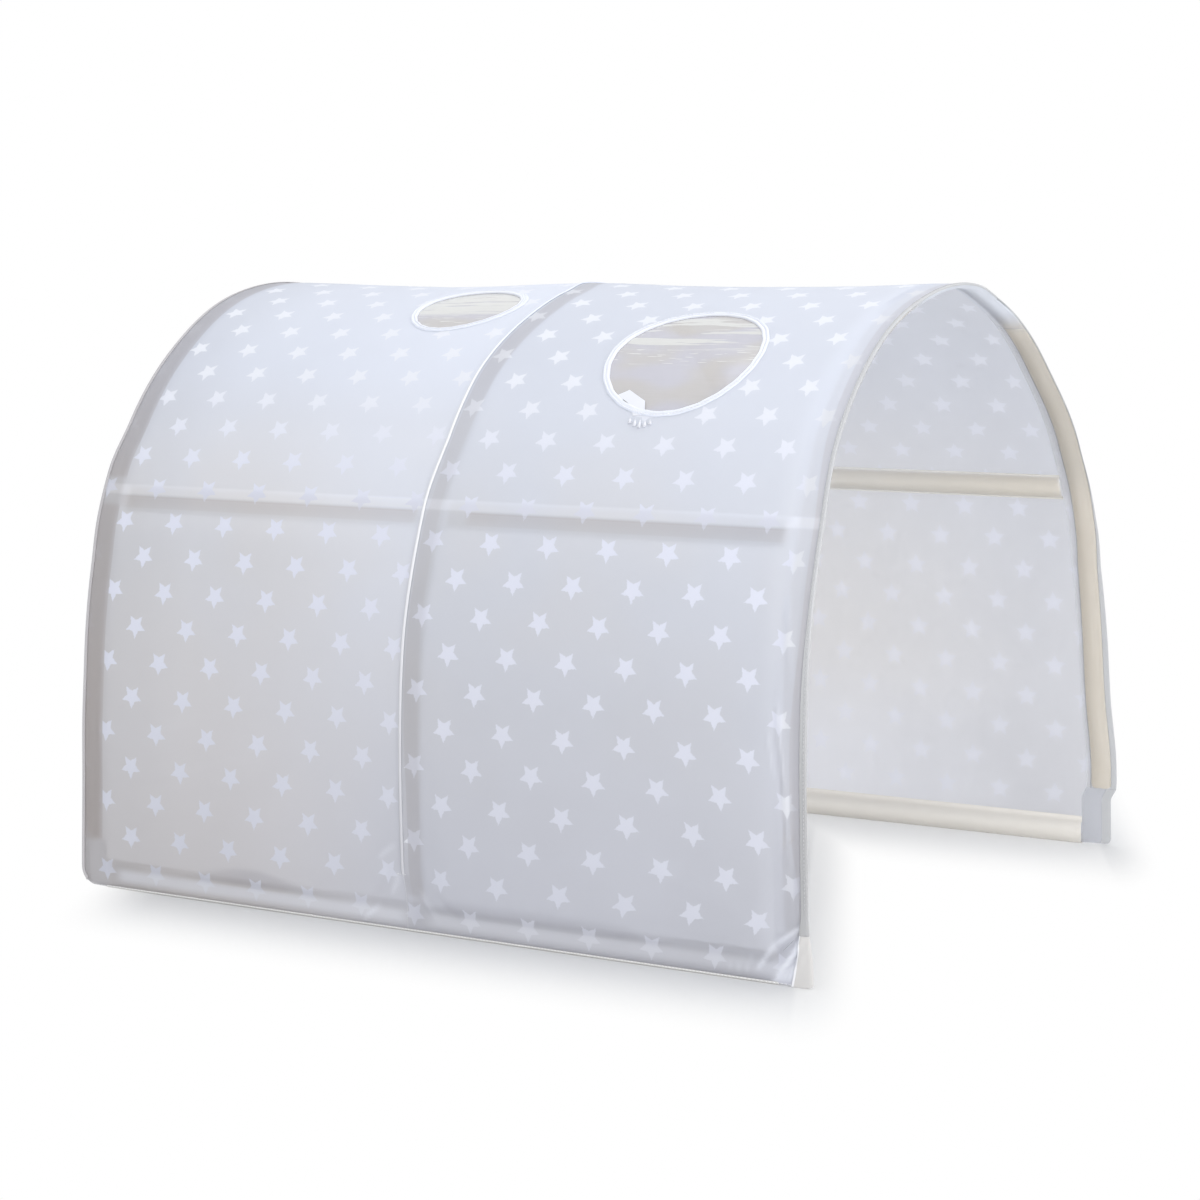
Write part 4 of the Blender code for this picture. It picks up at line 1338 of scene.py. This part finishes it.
class TUNNEL_OT_stitches(bpy.types.Operator):
    """Sew the rows of stitches, and gather the names of what is sewn to each panel."""

    bl_idname = "tunnel.stitches"
    bl_label = "Stitches"

    def execute(self, context):
        self.sew(context.scene.tunnel_cloth)
        self.declare_sheets()
        return {"FINISHED"}

    def sew(self, sizes):
        """Rows of stitches round the mouths, along the hems and seam, and round the windows."""
        pitch, length = sizes.stitch_pitch, sizes.stitch_length
        thread = plain_cotton("thread", "thread")
        # The mouths' stitches get painted shade
        soft = plain_cotton("thread_mouth_shaded", "thread_mouth_shaded")
        above = OUTSIDE - TAPE / 2 - PROUD
        low, high = 0.085, WHOLE_ARC - 0.025
        shape = bmesh.new()
        for sign in (-1, 1):
            x = sign * (LENGTH / 2 - MOUTH_STITCHES)
            for index in range(int((high - low) / pitch)):
                arc = low + index * pitch
                dash(shape, place(x, arc, above), place(x, arc + length, above), outwards_at(arc))
        add_piece("stitches_mouths", shape, "cover", [soft])
        shape = bmesh.new()
        for arc, out in ((HEM_STITCHES, -1.0), (WHOLE_ARC - HEM_STITCHES, 1.0)):
            for index in range(int(HEM_RUN / pitch)):
                x = index * pitch - HEM_RUN / 2
                dash(shape, place(x, arc, above), place(x + length, arc, above),
                     Vector((0.0, out, 0.0)))
        foot = WELT_FOOT + 0.0002
        for index in range(4):
            x = SEAM_X - 0.0085 + index * 0.0033
            dash(shape, place(x, foot, -0.0006), place(x + 0.0026, foot + 0.0004, -0.0006),
                 Vector((0.0, -1.0, 0.0)))
        add_piece("stitches_hems", shape, "cover", [thread])
        shape = bmesh.new()
        for _, x, arc, radius in WINDOWS:
            reach = radius - RIM_STITCHES
            for index in range(int(2 * math.pi * reach / pitch)):
                turns = index * pitch / reach, (index * pitch + length) / reach
                dash(shape, *(on_cloth(x + reach * math.cos(turn), arc + reach * math.sin(turn),
                                       0.0018) for turn in turns), outwards_at(arc))
        add_piece("stitches_rims", shape, "cover", [thread])

    def declare_sheets(self):
        """Gathers the names of what is sewn to each panel."""
        right = ["seam_welt", "middle_sleeve", "hem_tape_near", "hem_tape_far"]
        right += ["stitches_mouths", "stitches_hems", "stitches_rims", "tape_end", "thread_ends"]
        for word, side, others in (("left", -1, []), ("right", 1, right)):
            names = ["mouth_tape_" + word, "window_binding_" + word] + others
            for end in ("near", "far"):
                names += ["foot_tape_%s_%s" % (word, end), "slat_sleeve_%s_%s" % (word, end)]


def floor_shades(graph, along, across):
    """How much of the floor's shade shows round the near wall and the far one, in painted shadow
    shapes.
    """
    # Painted shadows, thrown from each wall along one slanting direction across the floor
    aside = graph.scaled(along, 0.903, graph.times(across, 0.430))
    shades = []
    # The side of the wall, where its foot is, how fast the shade fades in front of the wall and
    # behind it, and how strong it is inside the tunnel and outside
    for side, foot, front, back, inside, outside in ((-1, 0.264, -4.5, 0.55, 1.0, 0.70),
                                                     (1, 0.651, -3.8, 0.75, 0.68, 0.90)):
        behind = graph.less(across, side * WIDTH / 2)
        reach = graph.most(graph.times(behind, front), graph.times(behind, back))
        past = graph.less(aside, foot)
        beyond = graph.most(graph.times(past, 14.0), 0.0)
        off = graph.plus(graph.times(reach, reach), graph.times(beyond, beyond))
        shade = graph.times(graph.step(graph.math("SQRT", off), 0.0, 1.0, 1.0, 0.0),
                            graph.step(past, -0.005, 0.004, inside, outside))
        shades.append(graph.times(shade, graph.step(past, -0.905, -0.790)))
    return shades


class TUNNEL_OT_stage(bpy.types.Operator):
    """Make the camera, the floor and the lamps."""

    bl_idname = "tunnel.stage"
    bl_label = "Stage"

    def execute(self, context):
        scene = context.scene
        self.camera(scene)
        self.studio(scene)
        for name, spot, size, energy in (("top_lamp", (0.3, 0.1, 2.6), 2.4, 22.0),
                                         ("front_lamp", (-2.0, -2.2, 1.3), 1.8, 4.0),
                                         ("back_lamp", (0.6, 2.6, 0.2), 1.6, 20.0),
                                         ("mouth_lamp", (2.4, -1.5, 0.4), 1.2, 26.0)):
            lamp = bpy.data.lights.new(name, "AREA")
            lamp.shape, lamp.size, lamp.energy = "DISK", size, energy
            holder = bpy.data.objects.new(name, lamp)
            holder.location = spot
            toward = Vector((0.0, 0.0, 0.35)) - holder.location
            holder.rotation_euler = toward.to_track_quat("-Z", "Y").to_euler()
            scene.collection.objects.link(holder)
        self.floor(scene)
        scene.view_settings.view_transform = "Standard"
        return {"FINISHED"}

    def camera(self, scene):
        """Camera as fitted to the photograph."""
        azimuth, elevation = math.radians(31.157), math.radians(6.541)
        target, distance = Vector((-0.0124, 0.0, 0.3456)), 3.6492
        back = Vector((math.sin(azimuth) * math.cos(elevation),
                       -math.cos(azimuth) * math.cos(elevation), math.sin(elevation)))
        lens = bpy.data.cameras.new("camera")
        lens.lens, lens.sensor_width = 84.417, 36.0
        camera = bpy.data.objects.new("camera", lens)
        camera.location = target + back * distance
        camera.rotation_euler = (-back).to_track_quat("-Z", "Y").to_euler()
        scene.collection.objects.link(camera)
        scene.camera = camera

    def studio(self, scene):
        """World that looks white and lights a little cooler and weaker."""
        scene.world = bpy.data.worlds.new("studio")
        studio = Nodes(scene.world)
        lit, shown = studio.tree.nodes["Background"], studio.node("ShaderNodeBackground")
        for backdrop, colour, strength in ((lit, (0.95, 0.97, 1.0, 1.0), 0.80),
                                           (shown, (1.0, 1.0, 1.0, 1.0), 1.0)):
            backdrop.inputs["Color"].default_value = colour
            backdrop.inputs["Strength"].default_value = strength
        both = studio.blend(studio.seen(), lit.outputs[0], shown.outputs[0])
        studio.put(studio.tree.nodes["World Output"].inputs["Surface"], both)

    def floor(self, scene):
        """White floor on which the tunnel's soft shade shows inside painted shadow shapes."""
        shape = bmesh.new()
        bmesh.ops.create_grid(shape, x_segments=2, y_segments=2, size=14.0)
        bmesh.ops.translate(shape, vec=(0.0, 0.0, -0.0005), verts=shape.verts)
        mesh = bpy.data.meshes.new("floor")
        shape.to_mesh(mesh)
        shape.free()
        floor = bpy.data.objects.new("floor", mesh)
        scene.collection.objects.link(floor)
        graph = Graph("floor_paint")
        seen = graph.seen()
        # Painted shade: the floor looks darker on the rays that show it than on those that carry
        # its light
        graph.finish(graph.mix(seen, (0.92, 0.92, 0.92, 1.0), (0.75, 0.75, 0.75, 1.0)), 0.9,
                     Specular_IOR_Level=0.0)
        where = graph.node("ShaderNodeTexCoord").outputs["Object"]
        shade = graph.most(*floor_shades(graph, *graph.parts(where)[:2]))
        glow = graph.node("ShaderNodeEmission").outputs[0]
        both = graph.blend(graph.times(seen, graph.less(1.0, shade)), graph.shader.outputs[0], glow)
        graph.put(graph.output.inputs["Surface"], both)
        mesh.materials.append(graph.material)


class TUNNEL_PT_panel(bpy.types.Panel):
    """Lists the pieces and their sizes."""

    bl_label = "Bed tunnel"
    bl_idname = "TUNNEL_PT_panel"
    bl_space_type = "VIEW_3D"
    bl_region_type = "UI"
    bl_category = "Tunnel"

    def draw(self, context):
        column = self.layout.column()
        for operator in OPERATORS:
            column.operator(operator.bl_idname)
        for name, group in GROUPS.items():
            box = self.layout.box()
            for key in group.__annotations__:
                box.prop(getattr(context.scene, name), key)


OPERATORS = (TUNNEL_OT_wood, TUNNEL_OT_cover, TUNNEL_OT_tapes, TUNNEL_OT_seam,
             TUNNEL_OT_windows, TUNNEL_OT_stitches, TUNNEL_OT_stage)
GROUPS = {"tunnel_cloth": TunnelCloth, "tunnel_print": TunnelPrint,
          "tunnel_colours": TunnelColours}


def register():
    for group in GROUPS.values():
        bpy.utils.register_class(group)
    for name, group in GROUPS.items():
        setattr(bpy.types.Scene, name, bpy.props.PointerProperty(type=group))
    for operator in OPERATORS:
        bpy.utils.register_class(operator)
    bpy.utils.register_class(TUNNEL_PT_panel)


def unregister():
    bpy.utils.unregister_class(TUNNEL_PT_panel)
    for operator in reversed(OPERATORS):
        bpy.utils.unregister_class(operator)
    for name, group in GROUPS.items():
        delattr(bpy.types.Scene, name)
        bpy.utils.unregister_class(group)


def main():
    register()
    bpy.ops.tunnel.wood()
    bpy.ops.tunnel.cover()
    bpy.ops.tunnel.tapes()
    bpy.ops.tunnel.seam()
    bpy.ops.tunnel.windows()
    bpy.ops.tunnel.stitches()
    bpy.ops.tunnel.stage()


if __name__ == "__main__":
    main()
